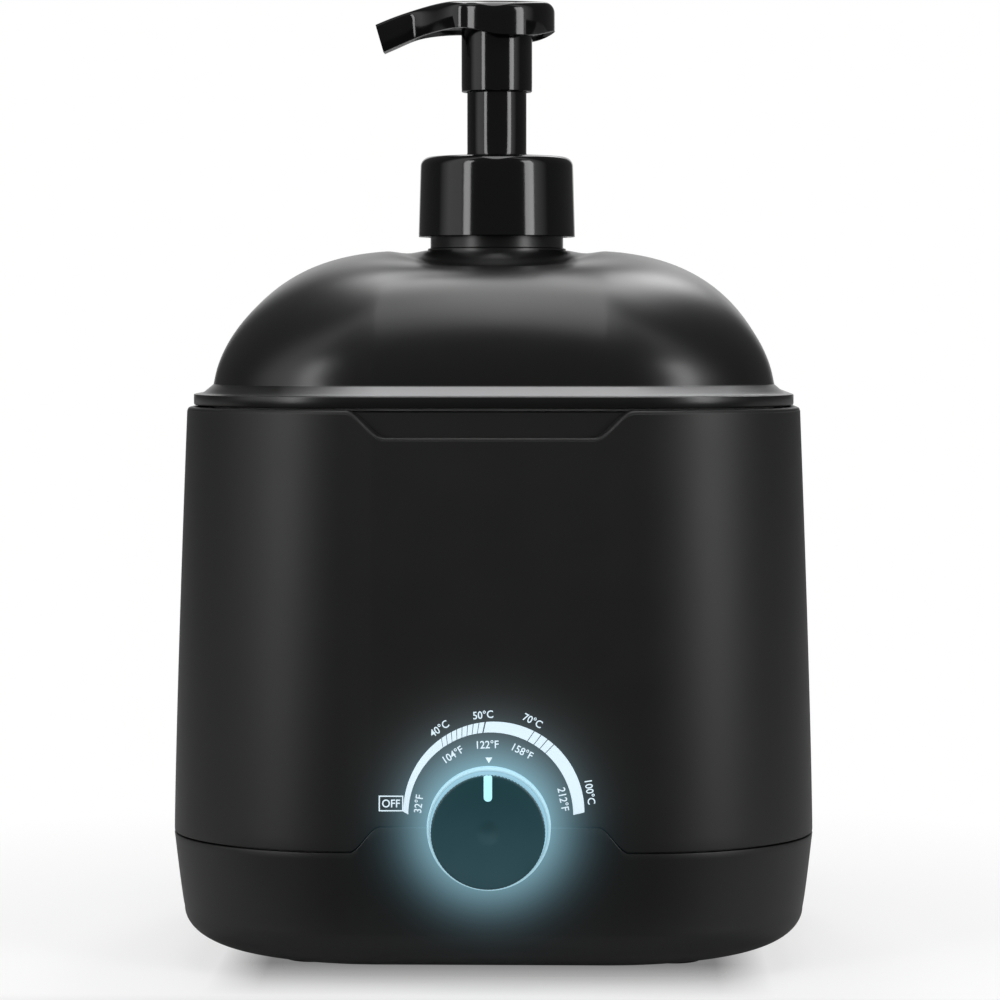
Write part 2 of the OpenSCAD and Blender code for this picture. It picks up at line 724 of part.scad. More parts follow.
module panel_leads() {
    start_y = control_y + 11;
    end_y = board_middle - board_y / 2 + 3;
    color([0.85, 0.75, 0.2]) placed() for (x = [14, 18, 22])
        sweep(smooth_route([[x - 18, start_y, knob_z - 3], [x - 18, start_y + 4, knob_z - 3],
            [x - 12, start_y + 18.4, knob_z - 8], [x, end_y - 19, board_z + 10],
            [x, end_y - 5, board_z + 8], [x, end_y, board_z + 5],
            [x, end_y, board_z + board_t]], 3), 0.8, 8, [0, 1, 0], [0, 0, -1]);
}

// Knob: a ribbed cup with a hub on the dial's shaft and a slot for the pointer
module knob() {
    rib_r = 0.45;
    face = knob_front_y;
    color([0.17, 0.25, 0.28]) placed() translate([0, 0, knob_z]) difference() {
        union() {
            difference() {
                translate([0, knob_back_y, 0]) rotate([90, 0, 0])
                    linear_extrude(knob_back_y - face - 1.2) difference() {
                        circle(r = knob_r);
                        for (i = [0:knob_ribs - 1]) rotate(360 * (i + 0.5) / knob_ribs)
                            translate([knob_r + rib_r / 2, 0]) circle(r = rib_r, $fn = 16);
                    }
                bar_y(knob_r - 2.2, face + 3.5, knob_back_y + 1);
            }
            translate([0, face + 1.2, 0]) rotate([90, 0, 0])
                cylinder(r1 = knob_r - 0.35, r2 = knob_r - 1, h = 1.2);
            bar_y(shaft_r + 2.4, face + 3, knob_back_y - 0.2);
        }
        bar_y(shaft_r + fit / 2, face + 2.4, knob_back_y + 1);
        bar_y(3.4, face - 1, face + 0.4);
        translate([-pointer_w / 2 - fit / 2, face - 1, knob_r - pointer_l])
            cube([pointer_w + fit, pointer_t + 1, pointer_l + 1]);
    }
}
pointer_t = 1.2;

module knob_pointer() {
    color([0.65, 0.9, 0.95]) placed() translate([0, 0, knob_z]) intersection() {
        translate([-pointer_w / 2, knob_front_y - 0.1, knob_r - pointer_l + fit])
            cube([pointer_w, pointer_t + 0.1, pointer_l]);
        bar_y(knob_r - 0.6, knob_front_y - 1, knob_back_y);
    }
}

module dial_shaft() {
    color([0.7, 0.7, 0.72]) placed() translate([0, 0, knob_z])
        bar_y(shaft_r, knob_front_y + 2.6, control_y + 6);
}

// Height of the dome over its foot at the share t of the way out from neck to foot, for a
// column that points s = 0 sideways to 1 straight ahead or behind
function dome_rise(t, s) = dome_h * pow(1 - pow(t, 2.5), 0.65)
    - dome_dip * s * pow(sin(180 * sqrt(min(t / 0.8, 1))), 2)
    - neck_dish * pow(sin(180 * min(t / 0.22, 1)), 2);
dome_steps = 9;
dome_end = neck_r - neck_wall / 2;
// A point of the dome: the round neck blends into the rounded-square foot
function dome_point(i, t, inset) = let (
    p = plan[i], far = norm(p), s = pow(p[1] / far, 2),
    w = neck_r + (dome_half - neck_r) * t - inset * t,
    share = t * t + (1 - t * t) / far,
    z = dome_z + dome_rise(t, s) - inset * sqrt(1 - t * t))
    [p[0] * share * w, p[1] * share * w, z];
function plan_point(i, w, z) = [plan[i][0] * w, plan[i][1] * w, z];

// Lid: thin brim, dome and pump neck, with a seal groove underneath and a vent hole
module lid() {
    seal_in = step_half + 1.6;
    seal_out = seal_in + 2.2;
    n = len(plan);
    rows = [for (i = [0:n - 1]) concat(
        [plan_point(i, brim_half - 0.4, brim_z), plan_point(i, brim_half, brim_z + 0.4),
         plan_point(i, brim_half, brim_z + brim_t - 0.5),
         plan_point(i, brim_half - 0.5, brim_z + brim_t),
         plan_point(i, dome_half + 1.4, brim_z + brim_t + 0.1),
         plan_point(i, dome_half + 0.3, brim_z + brim_t + 0.6)],
        [for (j = [dome_steps:-1:0]) dome_point(i, sin(90 * j / dome_steps), 0)],
        [for (z = [neck_z, neck_z - wall]) plan_point(i, dome_end / norm(plan[i]), z)],
        [for (j = [0:dome_steps]) dome_point(i, sin(90 * j / dome_steps), wall)],
        [plan_point(i, dome_half - wall, brim_z), plan_point(i, seal_in, brim_z),
         plan_point(i, seal_in, brim_z + 0.7), plan_point(i, seal_out, brim_z + 0.7),
         plan_point(i, seal_out, brim_z)])];
    color([0.14, 0.14, 0.14]) placed() difference() {
        union() {
            polyhedron([for (r = rows) each r], ring_faces(n, len(rows[0])));
            rod(neck_r, neck_z - wall - 1.4, neck_top);
            rod(neck_r + 0.7, neck_z - 1.4, neck_z + 0.7);
        }
        rod(neck_bore_r, neck_z - 10, neck_top + 1);
        translate([vent_x, -3, 0]) rod(vent_r, dome_z, neck_top);
    }
}

module lid_seal() {
    seal_in = step_half + 1.6;
    seal_out = seal_in + 2.2;
    color([0.6, 0.6, 0.6]) placed() wall_ring([for (p = plan) [
        [seal_out - fit, deck_z + touch], [seal_out - fit, brim_z + 0.65],
        [seal_in + fit, brim_z + 0.65], [seal_in + fit, deck_z + touch]]]);
}

// Pump body: flange, air chamber in the neck, liquid chamber and the dip tube's socket
module pump_body() {
    color([0.85, 0.85, 0.85]) placed() difference() {
        union() {
            rod(neck_r - 0.25, pump_flange_z, pump_flange_z + pump_flange_t);
            rod(air_r, air_floor, pump_flange_z + bite);
            rod(liquid_r + liquid_wall, liquid_floor, air_floor + bite);
            rod(dip_r + 1.4, liquid_floor - 8, liquid_floor + bite);
        }
        rod(air_r - air_wall, air_floor + air_floor_t, pump_flange_z);
        rod(stem_r + run, pump_flange_z - 1, pump_flange_z + pump_flange_t + 1);
        rod(liquid_r, liquid_floor + 3, air_floor + air_floor_t + 1);
        rod(valve_hole_r, liquid_floor - 1, liquid_floor + 4);
        rod(dip_r + fit / 2, liquid_floor - 9, liquid_floor);
    }
}

module pump_gasket() {
    color([0.7, 0.7, 0.7]) placed()
        tube(neck_r - 0.25, air_r, gasket_z, pump_flange_z);
}

module dip_tube() {
    color([0.9, 0.9, 0.9]) placed() tube(dip_r, dip_r - 0.8, dip_end, liquid_floor);
}

module foot_valve() {
    seat = sqrt(valve_r * valve_r - valve_hole_r * valve_hole_r);
    color([0.8, 0.8, 0.85]) placed() translate([0, 0, liquid_floor + 3 + seat + 0.02])
        sphere(r = valve_r);
}

// Screw cap with the guide chimney
module collar() {
    color([0.07, 0.07, 0.08]) placed() difference() {
        rotate_extrude() polygon(concat(
            [[0, cap_z], [cap_r, cap_z]],
            [for (a = [0:30:90]) [cap_r - 1.9 + 1.6 * cos(a), cap_top - 1.6 + 1.6 * sin(a)]],
            [[chimney_r, cap_top], [chimney_r, chimney_top], [0, chimney_top]]));
        rod(cap_bore_r, cap_z - 1, cap_ceiling);
        rod(chimney_r - chimney_wall, cap_ceiling - 1, chimney_top + 1);
    }
}

module pump_stem() {
    color([0.85, 0.85, 0.85]) placed() tube(stem_r, stem_bore_r, stem_foot, stem_top);
}

module air_piston() {
    color([0.8, 0.85, 0.9]) placed()
        tube(air_r - air_wall - touch, stem_r, piston_z, piston_z + piston_t);
}

module liquid_piston() {
    color([0.8, 0.85, 0.9]) placed() {
        rod(liquid_r - run, liquid_piston_z, liquid_piston_z + liquid_piston_t);
        rod(rod_r, liquid_piston_z + bite, stem_foot + 2);
        rod(stem_bore_r, stem_foot, stem_foot + 6);
    }
}

module foam_mesh() {
    color([0.95, 0.95, 0.95]) placed() rod(stem_bore_r, stem_top - 12, stem_top - 2);
}

// Return spring: a wire wound round the axis from the liquid chamber's floor to the piston
module pump_spring() {
    coil_r = liquid_r - 0.3 - spring_wire_r;
    z0 = spring_z + spring_wire_r;
    z1 = liquid_piston_z - spring_wire_r - 0.1;
    steps = spring_turns * 12;
    sides = 6;
    lean = atan2((z1 - z0) / spring_turns, 2 * PI * coil_r);
    points = [for (i = [0:steps]) let (a = 30 * i) for (k = [0:sides - 1])
        let (b = 360 * k / sides, out = coil_r + spring_wire_r * cos(b), up = spring_wire_r * sin(b))
        [out * cos(a) + up * sin(lean) * sin(a), out * sin(a) - up * sin(lean) * cos(a),
         z0 + (z1 - z0) * i / steps + up * cos(lean)]];
    color([0.75, 0.76, 0.78]) placed() polyhedron(points, concat(
        [for (i = [0:steps - 1]) for (k = [0:sides - 1])
            let (a = i * sides + k, b = i * sides + (k + 1) % sides) each
            [[a, b + sides, b], [a, a + sides, b + sides]]],
        [for (k = [1:sides - 2]) [0, k, k + 1]],
        [for (k = [1:sides - 2])
            [steps * sides, steps * sides + k + 1, steps * sides + k]]));
}

// Press head. Its sections are rounded rectangles across the head, from the spout's end
// (negative x) to the back
spout_half = 4.3;
head_middle = 2;
spout_from = -10;
spout_run = spout_reach + spout_from;
spout_droop = 5.1;
lower_droop = 5.6;
head_wall = 1.6;
function head_width(x) = x > head_middle
    ? head_half * sqrt(max(0.01, 1 - pow((x - head_middle) / (head_back - head_middle), 2.2)))
    : x > spout_from - 12
    ? spout_half + (head_half - spout_half) * s_curve((x - spout_from + 12) / (head_middle - spout_from + 12))
    : spout_half;
head_round = 3.4;
function head_upper(x) = head_top - (x < spout_from ? spout_droop * pow((spout_from - x) / spout_run, 2)
    : x > head_back - head_round
    ? head_round * (1 - sqrt(1 - pow((x - head_back + head_round) / head_round, 2))) : 0);
function head_lower(x) = x < spout_from
    ? head_top - 7.7 - lower_droop * pow((spout_from - x) / spout_run, 2)
    : x < head_middle + 4
    ? head_top - 10.2 + 2.5 * pow((x - head_middle - 4) / (spout_from - head_middle - 4), 2)
    : head_top - 10.2 + 1.7 * pow((x - head_middle - 4) / (head_back - head_middle - 4), 2);
module head_loft(stations, inset, lift, drop) {
    around = 20;
    n = len(stations);
    points = [for (x = stations) let (
        w = max(head_width(x) - inset, 0.3), top = head_upper(x) - lift,
        low = head_lower(x) - drop, mid = (top + low) / 2, tall = (top - low) / 2)
        for (k = [0:around - 1]) let (c = cos(360 * k / around), s = sin(360 * k / around))
            [x, w * sign(c) * pow(abs(c), 0.45), mid + tall * sign(s) * pow(abs(s), 0.45)]];
    polyhedron(points, concat(
        [for (i = [0:n - 2]) for (k = [0:around - 1])
            let (a = i * around + k, b = i * around + (k + 1) % around) each
            [[a, b + around, b], [a, a + around, b + around]]],
        [for (k = [1:around - 2]) [0, k, k + 1]],
        [for (k = [1:around - 2])
            [(n - 1) * around, (n - 1) * around + k + 1, (n - 1) * around + k]]));
}
module pump_head() {
    duct_z = head_top - 3;
    knee = [-16, duct_z - 1.2];
    mouth = [-spout_reach - 1, head_top - spout_droop - 4.2];
    spout = [for (i = [0:7]) -spout_reach + 0.05 + (spout_run - 0.05) * i / 7];
    crown = [for (i = [1:4]) spout_from + (head_middle - spout_from) * i / 4];
    back = [for (i = [1:7]) head_middle + (head_back - head_middle) * sin(90 * i / 7)];
    color([0.06, 0.06, 0.07]) placed() difference() {
        union() {
            difference() {
                head_loft(concat(spout, crown, back), 0, 0, 0);
                head_loft(concat([spout_from + 2], crown,
                    [for (i = [1:6]) head_middle + (head_back - head_wall - head_middle) * sin(15 * i)]),
                    head_wall, head_top - annulus_top, 4);
            }
            rod(skirt_r, skirt_z, annulus_top + bite);
        }
        difference() {
            rod(skirt_r - skirt_wall, skirt_z - 1, annulus_top);
            rod(socket_r, skirt_z + 3.4, annulus_top + 1);
        }
        rod(stem_r + 0.05, skirt_z - 1, stem_top + touch);
        rod(stem_bore_r, stem_top - 1, duct_z + spout_bore_r);
        duct([0, duct_z], knee);
        duct(knee, mouth);
    }
}
// A straight bore in the plane of the spout, between two [x, z] places
module duct(a, b) {
    translate([a[0], 0, a[1]]) rotate([0, atan2(b[0] - a[0], b[1] - a[1]), 0])
        translate([0, 0, -bite]) cylinder(r = spout_bore_r, h = norm(b - a) + 2 * bite);
}

base_shell();
upper_shell();
well_collar();
foot_front_left();
foot_front_right();
foot_rear_left();
foot_rear_right();
shell_screws();
tank();
tank_gasket();
tank_screws();
tank_jacket();
heater();
heater_clamp();
heater_nut();
thermal_fuse();
temperature_sensor();
control_board();
board_parts();
board_screws();
panel_bracket();
bracket_screws();
dial_control();
dial_nut();
light_board();
light_diodes();
light_ring();
power_inlet();
inlet_pins();
inlet_leads();
heater_leads();
panel_leads();
knob();
knob_pointer();
dial_shaft();
lid();
lid_seal();
pump_body();
pump_gasket();
dip_tube();
foot_valve();
collar();
pump_stem();
air_piston();
liquid_piston();
foam_mesh();
pump_spring();
pump_head();
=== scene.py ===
import bpy
import bmesh
import math
import numpy as np
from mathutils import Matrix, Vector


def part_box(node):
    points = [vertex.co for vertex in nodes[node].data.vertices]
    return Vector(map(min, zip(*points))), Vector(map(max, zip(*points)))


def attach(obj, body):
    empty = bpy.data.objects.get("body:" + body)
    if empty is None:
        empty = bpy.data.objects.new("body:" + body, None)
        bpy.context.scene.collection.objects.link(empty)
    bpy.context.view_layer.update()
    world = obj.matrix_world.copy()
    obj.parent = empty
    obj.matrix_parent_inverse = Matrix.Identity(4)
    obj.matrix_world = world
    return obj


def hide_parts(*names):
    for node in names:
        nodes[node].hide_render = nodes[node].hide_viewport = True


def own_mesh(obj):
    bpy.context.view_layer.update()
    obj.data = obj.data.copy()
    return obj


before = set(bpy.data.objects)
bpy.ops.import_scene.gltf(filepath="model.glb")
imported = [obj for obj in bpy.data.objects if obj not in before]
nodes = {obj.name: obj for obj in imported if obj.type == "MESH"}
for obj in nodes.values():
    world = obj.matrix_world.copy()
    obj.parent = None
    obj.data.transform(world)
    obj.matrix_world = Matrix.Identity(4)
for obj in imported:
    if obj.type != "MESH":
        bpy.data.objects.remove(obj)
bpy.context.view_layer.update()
scene = bpy.context.scene

# The camera: a long lens a metre in front, a little right of the middle and just above the
# dome, tipped down so that the whole machine stands in a square picture.
MM = 0.001
MIDDLE_Y = 4.4  # the pump's axis lies this far behind the middle of the footprint
distance, aside, height, tip = 1012.0, math.radians(1.4), 174.5, math.radians(2.937)
camera_data = bpy.data.cameras.new("camera")
camera_data.lens = 129.24
camera_data.clip_start, camera_data.clip_end = 0.05, 100.0
camera = bpy.data.objects.new("camera", camera_data)
camera.location = (distance * math.sin(aside) * MM,
                   (MIDDLE_Y - distance * math.cos(aside)) * MM, height * MM)
camera.rotation_euler = (math.pi / 2 - tip, 0, math.radians(1.35))
scene.collection.objects.link(camera)
scene.camera = camera
scene.view_settings.view_transform = "Standard"


# The floor and the room: a white table that shows the faint mirror image of the base close
# to the machine, a white backdrop, and a dark studio in front behind the camera.
class Wire:
    """One output of a shader node. Sums on wires add Math nodes, so 1 - mask works."""

    def __init__(self, finish, socket):
        self.finish, self.socket = finish, socket

    def math(self, operation, other=0.0, swap=False):
        pair = (other, self) if swap else (self, other)
        return self.finish.node("Math", {"operation": operation}, *pair)

    def __add__(self, other): return self.math("ADD", other)
    def __radd__(self, other): return self.math("ADD", other)
    def __sub__(self, other): return self.math("SUBTRACT", other)
    def __rsub__(self, other): return self.math("SUBTRACT", other, True)
    def __mul__(self, other): return self.math("MULTIPLY", other)
    def __rmul__(self, other): return self.math("MULTIPLY", other)
    def __truediv__(self, other): return self.math("DIVIDE", other)
    def __pow__(self, other): return self.math("POWER", other)

    def clip(self):
        """The value held between 0 and 1."""
        return self.math("MAXIMUM", 0.0).math("MINIMUM", 1.0)


class Finish:
    """A node tree in the making, of a material or of the world."""

    def __init__(self, name, world=False):
        self.data = (bpy.data.worlds if world else bpy.data.materials).new(name)
        self.data.use_nodes = True
        self.tree = self.data.node_tree
        self.tree.nodes.clear()
        self.world = world

    def node(self, kind, settings=None, *inputs, out=0, **named):
        """Adds a node: its type, its settings, then the values or wires of its sockets."""
        node = self.tree.nodes.new("ShaderNode" + kind)
        for key, value in (settings or {}).items():
            setattr(node, key, value)
        for where, value in [*enumerate(inputs), *named.items()]:
            socket = node.inputs[where if isinstance(where, int) else where.replace("_", " ")]
            if isinstance(value, Wire):
                self.tree.links.new(value.socket, socket)
            elif value is not None:
                socket.default_value = value
        return Wire(self, node.outputs[out]) if node.outputs else None

    def place(self):
        """The point being shaded, in the object's own space, in millimetres."""
        where = self.node("TexCoord", out=3)
        return self.node("VectorMath", {"operation": "SCALE"}, where, Scale=1000.0)

    def axes(self, vector):
        """The x, y and z of a vector, as three wires."""
        split = self.node("SeparateXYZ", None, vector).socket.node
        return [Wire(self, output) for output in split.outputs]

    def noise(self, where, grain, detail=2.0, rough=0.5):
        """Noise from 0 to 1 whose blotches are about grain millimetres across."""
        return self.node("TexNoise", None, where, Scale=1.0 / grain, Detail=detail, Roughness=rough)

    def blend(self, share, first, second):
        """A colour between two colours."""
        mix = self.node("Mix", {"data_type": "RGBA"}, share, out=2)
        for index, value in ((6, first), (7, second)):
            socket = mix.socket.node.inputs[index]
            if isinstance(value, Wire):
                self.tree.links.new(value.socket, socket)
            else:
                socket.default_value = (*value, 1.0)
        return mix

    def done(self, shader):
        """Ends the tree with its output and gives back the material or the world."""
        kind = "OutputWorld" if self.world else "OutputMaterial"
        self.node(kind, None, shader)
        return self.data


FLOOR_REACH = 12.0  # metres from the middle to each side
floor_mesh = bpy.data.meshes.new("floor")
floor_mesh.from_pydata([(x * FLOOR_REACH, y * FLOOR_REACH, 0) for x, y in
                        ((-1, -1), (1, -1), (1, 1), (-1, 1))], [], [(0, 1, 2, 3)])
floor = bpy.data.objects.new("floor", floor_mesh)
scene.collection.objects.link(floor)
f = Finish("white table")
x, y, z = f.axes(f.place())
seen = f.node("LightPath")              # 1 for what the camera sees, 0 for all other light
front = ((-93.0 - y) / 25.0).clip()     # 1 on the part of the table in front of the machine
# Painted shade: the table's own colour is near black in front of the machine, and mid grey for all
# light but the camera's, so that the base's lower edges mirror a dark floor.
paint = f.blend(seen, f.blend(front, (0.52, 0.52, 0.52), (0.06, 0.06, 0.06)),
                f.blend(front, (0.86, 0.86, 0.86), (0.07, 0.07, 0.07)))
matt = f.node("BsdfDiffuse", None, paint)
white = f.node("Emission", None, (1, 1, 1, 1), 1.0)
far = (((x * x + y * y).math("SQRT") - 130.0) / 150.0).clip()
table = f.node("MixShader", None, seen * (0.7 + far * 0.3), matt, white)
mirror = f.node("BsdfGlossy", None, (1, 1, 1, 1), Roughness=0.04)
across = ((74.0 - x.math("ABSOLUTE")) / 14.0).clip()
near = ((y + 95.0) / 48.0).clip() * (1.0 - far) * across * seen * 0.7
floor_mesh.materials.append(f.done(f.node("MixShader", None, near, table, mirror)))

f = Finish("room", world=True)
where = f.node("TexCoord", out=0)
x, y, z = f.axes(where)
seen = f.node("LightPath")
flat = (x * x + y * y + 0.0001).math("SQRT")
ahead = y / flat                        # 1 behind the machine, -1 behind the camera
sides = ((ahead + 0.66) / 0.06).clip() * ((-0.04 - x * 0.1 - ahead) / 0.33).clip()
backdrop = ((ahead - 0.93) / 0.04).clip() * ((0.5 - z.math("ABSOLUTE")) / 0.2).clip()
wings = (((x - 0.02).math("ABSOLUTE") - 0.06) / 0.08).clip()
wings = wings * ((x + 0.28) / 0.1).clip() * ((0.33 - x) / 0.1).clip()
ceiling = wings * ((y - 0.2) / 0.25).clip() * ((z + x * 0.5 - 0.47) / 0.14).clip()
level = 0.105 + sides * (0.9 - x * 0.1) + ceiling * 4.5 + backdrop * 0.9
light = f.node("Background", None, (1, 1, 1, 1), level)
white = f.node("Background", None, (1, 1, 1, 1), 1.0)
scene.world = f.done(f.node("MixShader", None, seen, light, white))


def lamp(name, place, aim, size, strength, shape="RECTANGLE"):
    """A soft box: an area light at place, turned to aim, sized and given in radiance."""
    data = bpy.data.lights.new(name, "AREA")
    data.shape, data.size, data.size_y = shape, size[0], size[1]
    data.energy = strength * math.pi * size[0] * size[1]
    box = bpy.data.objects.new(name, data)
    away = np.subtract(place, aim)
    away = away / np.linalg.norm(away)
    flat = math.hypot(away[0], away[1])
    box.rotation_euler = (math.atan2(flat, away[2]), 0, math.atan2(away[0], -away[1]))
    box.location = place
    box.visible_camera = False
    scene.collection.objects.link(box)


lamp("overhead", (0.0, 0.13, 1.35), (0, 0.05, 0.15), (0.46, 1.7), 2.8, "ELLIPSE")
lamp("strip left", (-0.88, -0.93, 0.55), (0, 0, 0.15), (0.25, 1.1), 6.0)
lamp("strip right", (1.0, -0.82, 0.55), (0, 0, 0.15), (0.34, 1.1), 5.8)


# Lower shell: injection-moulded black ABS, spark-eroded to a fine satin, with a raised tab
# at the front of its joint line. It is screwed to the upper shell from under the feet.
CRISP = math.radians(32.0)              # edges that turn by more than this stay sharp


def skin(name, grid, loop=(True, False)):
    """A mesh over grid[i, j] = (x, y, z), in mm round the pump's axis. Each four neighbours
    make a face, loop says whether i and j close on themselves, and equal points merge."""
    n, m = grid.shape[:2]
    i, j = np.meshgrid(np.arange(n if loop[0] else n - 1), np.arange(m if loop[1] else m - 1),
                       indexing="ij")
    k, l = (i + 1) % n, (j + 1) % m
    faces = np.stack([i * m + j, k * m + j, k * m + l, i * m + l], -1).reshape(-1, 4)
    points = (grid.reshape(-1, 3) + (0, MIDDLE_Y, 0)) * MM
    mesh = bpy.data.meshes.new(name)
    mesh.from_pydata(points.tolist(), [], faces.tolist())
    work = bmesh.new()
    work.from_mesh(mesh)
    bmesh.ops.remove_doubles(work, verts=work.verts, dist=2e-7)
    bmesh.ops.dissolve_degenerate(work, edges=work.edges, dist=1e-8)
    bmesh.ops.recalc_face_normals(work, faces=work.faces)
    work.to_mesh(mesh)
    work.free()
    mesh.shade_smooth()
    mesh.set_sharp_from_angle(angle=CRISP)
    piece = bpy.data.objects.new(name, mesh)
    scene.collection.objects.link(piece)
    return piece


def outline(front=161, flat=13, arc=34):
    """Points and normals of the plan at half width 1: straight sides joined by quarter
    circles, closest together along the front, going round against the clock."""
    m = 1 - CORNER
    sides = [np.linspace(-m, m, front)] + [np.linspace(-m, m, flat)] * 3
    points, normals = [], []
    for turn, along in enumerate(sides):
        a = np.radians(np.linspace(0, 90, arc)[1:-1])
        p = np.concatenate([np.stack([along, -np.ones_like(along)], 1),
                            np.stack([m + CORNER * np.sin(a), -m - CORNER * np.cos(a)], 1)])
        q = np.concatenate([np.tile((0.0, -1.0), (len(along), 1)),
                            np.stack([np.sin(a), -np.cos(a)], 1)])
        c, s = round(math.cos(turn * math.pi / 2)), round(math.sin(turn * math.pi / 2))
        spin = np.array([[c, s], [-s, c]])
        points.append(p @ spin)
        normals.append(q @ spin)
    return np.concatenate(points), np.concatenate(normals)


def crease(points, normals):
    """The front leans back by CREASE mm per mm beyond a soft upright crease on each side."""
    ahead = np.clip(-normals[:, 1], 0, 1)[:, None] ** 2
    beyond = np.clip(np.abs(points[..., 0]) - CREASE_X, 0, None)
    points[..., 1] += CREASE * ahead * beyond
    return points


def wall(halves, heights):
    """Points of a wall round the plan: at each height its half width, per column."""
    grid = np.empty((*halves.shape, 3))
    grid[..., :2] = plan[:, None, :] * halves[..., None]
    grid[..., 2] = heights
    return crease(grid, plan_normals)


def ease(t):
    """Smooth step from 0 to 1."""
    t = np.clip(t, 0, 1)
    return t * t * (3 - 2 * t)


CORNER = 46.0 / 86.0                    # radius of the plan's corners over its half width
CREASE_X, CREASE = 30.5, 0.045
WALL, FLOOR_W = 2.6, 3
SEAM_Z, SEAM_HALF = 35.0, 86.0
FLOOR_Z, EDGE_Z, EDGE_HALF = 2.3, 14.4, 83.5
EDGE_W, EDGE_H = 20.4, 12.1             # size of the rounded lower edge
TONGUE_IN, TONGUE_H = 1.43, 3           # the base's tongue: how far in and how high
LAP_W, LAP_H = 1.17, 3.2                # the lap of the upper shell outside the tongue
TAB_H, TAB_FOOT, TAB_TOP = 6.7, 36.2, 28.2      # height, half widths at foot and top
NOTCH_H, NOTCH_TOP, NOTCH_FLOOR, NOTCH_HALF = 7.0, 37.6, 27.1, 82.3
STRETCH = 1.008                         # the plan is a little wider than deep
plan, plan_normals = outline()
on_front = plan[:, 1] < -0.99
tab = TAB_H * ease((TAB_FOOT - np.abs(plan[:, 0]) * SEAM_HALF) / (TAB_FOOT - TAB_TOP)) * on_front
notch = NOTCH_H * ease((NOTCH_TOP - np.abs(plan[:, 0]) * NOTCH_HALF)
                       / (NOTCH_TOP - NOTCH_FLOOR)) * on_front
plan[:, 0] *= STRETCH


def section(*rows):
    """Stacks rows of (half width, height), numbers or one value per column, side by side."""
    n = len(plan)
    spread = lambda v: np.broadcast_to(np.asarray(v, float), (n,))
    return (np.stack([spread(r[0]) for r in rows], 1), np.stack([spread(r[1]) for r in rows], 1))


def edge_rows(inset, floor_inset, steps):
    """The rounded lower edge, a quarter of an ellipse from the floor up."""
    a = np.linspace(0, math.pi / 2, steps)
    return list(zip(EDGE_HALF - EDGE_W + (EDGE_W - inset) * np.sin(a),
                    EDGE_Z - (EDGE_H - floor_inset) * np.cos(a)))


top = SEAM_Z + tab
upright = [(EDGE_HALF + (SEAM_HALF - EDGE_HALF) * (s ** 0.85), EDGE_Z + (top - EDGE_Z) * s)
           for s in np.linspace(0, 1, 12)[1:-1]]
rows = ([(0, FLOOR_Z)] + [(w, FLOOR_Z) for w in (20, 40, 55)] + edge_rows(0, 0, 26) + upright
        + [(SEAM_HALF - 0.01, top - 0.3), (SEAM_HALF - 0.06, top - 0.12),
           (SEAM_HALF - 0.2, top - 0.02), (SEAM_HALF - 0.4, top)]
        + [(SEAM_HALF - TONGUE_IN, top), (SEAM_HALF - TONGUE_IN, top + TONGUE_H),
           (SEAM_HALF - WALL, top + TONGUE_H)]
        + edge_rows(WALL, FLOOR_W, 12)[::-1] + [(40, FLOOR_Z + FLOOR_W), (0, FLOOR_Z + FLOOR_W)])
base = skin("housing_base", wall(*section(*rows)))


def round_bar(radius, low, high, centre, axis="z", sides=96):
    """A bar along z, or along y, as points and faces."""
    a = np.linspace(0, 2 * math.pi, sides, endpoint=False)
    ring = np.stack([radius * np.cos(a), radius * np.sin(a)], 1)
    points = np.concatenate([np.column_stack([ring, np.full(sides, h)]) for h in (low, high)])
    if axis == "y":
        points = points[:, [0, 2, 1]] * (1, 1, -1)
    faces = [(k, (k + 1) % sides, sides + (k + 1) % sides, sides + k) for k in range(sides)]
    return points + centre, faces + [tuple(range(sides))[::-1], tuple(range(sides, 2 * sides))]


def block(low, high):
    """A box between two corners, as points and faces."""
    points = [(x, y, z) for x in (low[0], high[0]) for y in (low[1], high[1])
              for z in (low[2], high[2])]
    return points, [(0, 1, 3, 2), (4, 6, 7, 5), (0, 4, 5, 1), (2, 3, 7, 6), (0, 2, 6, 4),
                    (1, 5, 7, 3)]


def carve(piece, *shapes):
    """Cuts the shapes, in mm round the pump's axis, out of a piece and keeps the result."""
    tools = []
    for points, faces in shapes:
        mesh = bpy.data.meshes.new("tool")
        points = np.asarray(points, float) * MM + (0, MIDDLE_Y * MM, 0)
        mesh.from_pydata(points.tolist(), [], faces)
        work = bmesh.new()
        work.from_mesh(mesh)
        bmesh.ops.recalc_face_normals(work, faces=work.faces)
        work.to_mesh(mesh)
        work.free()
        tools.append(bpy.data.objects.new("tool", mesh))
        scene.collection.objects.link(tools[-1])
        cut = piece.modifiers.new("cut", "BOOLEAN")
        cut.operation, cut.solver, cut.object = "DIFFERENCE", "EXACT", tools[-1]
    depsgraph = bpy.context.evaluated_depsgraph_get()
    mesh = bpy.data.meshes.new_from_object(piece.evaluated_get(depsgraph))
    piece.modifiers.clear()
    piece.data = mesh
    for tool in tools:
        bpy.data.objects.remove(tool)
    mesh.shade_smooth()
    mesh.set_sharp_from_angle(angle=CRISP)


KNOB_Z, RING_R = 41.7, 16.1
FOOT_X, FOOT_Y, FOOT_R = 49.0, 43.0, 8.1
SLOT_PITCH, SLOT_HALF = 6, 1.25
ring_hole = round_bar(RING_R + 0.1, -92, -74, (0, 0, KNOB_Z), "y")
feet_holes = [round_bar(FOOT_R, 0, 4.0, (x, y, 0)) for x in (-FOOT_X, FOOT_X)
              for y in (-FOOT_Y, FOOT_Y)]
slots = [block((SLOT_PITCH * i - SLOT_HALF, 40, 1), (SLOT_PITCH * i + SLOT_HALF, 55, 7))
         for i in range(-3, 4)]
inlet_hole = block((-11.1, 60, 11.9), (11.1, 95, 24.1))
carve(base, ring_hole, inlet_hole, *feet_holes, *slots)
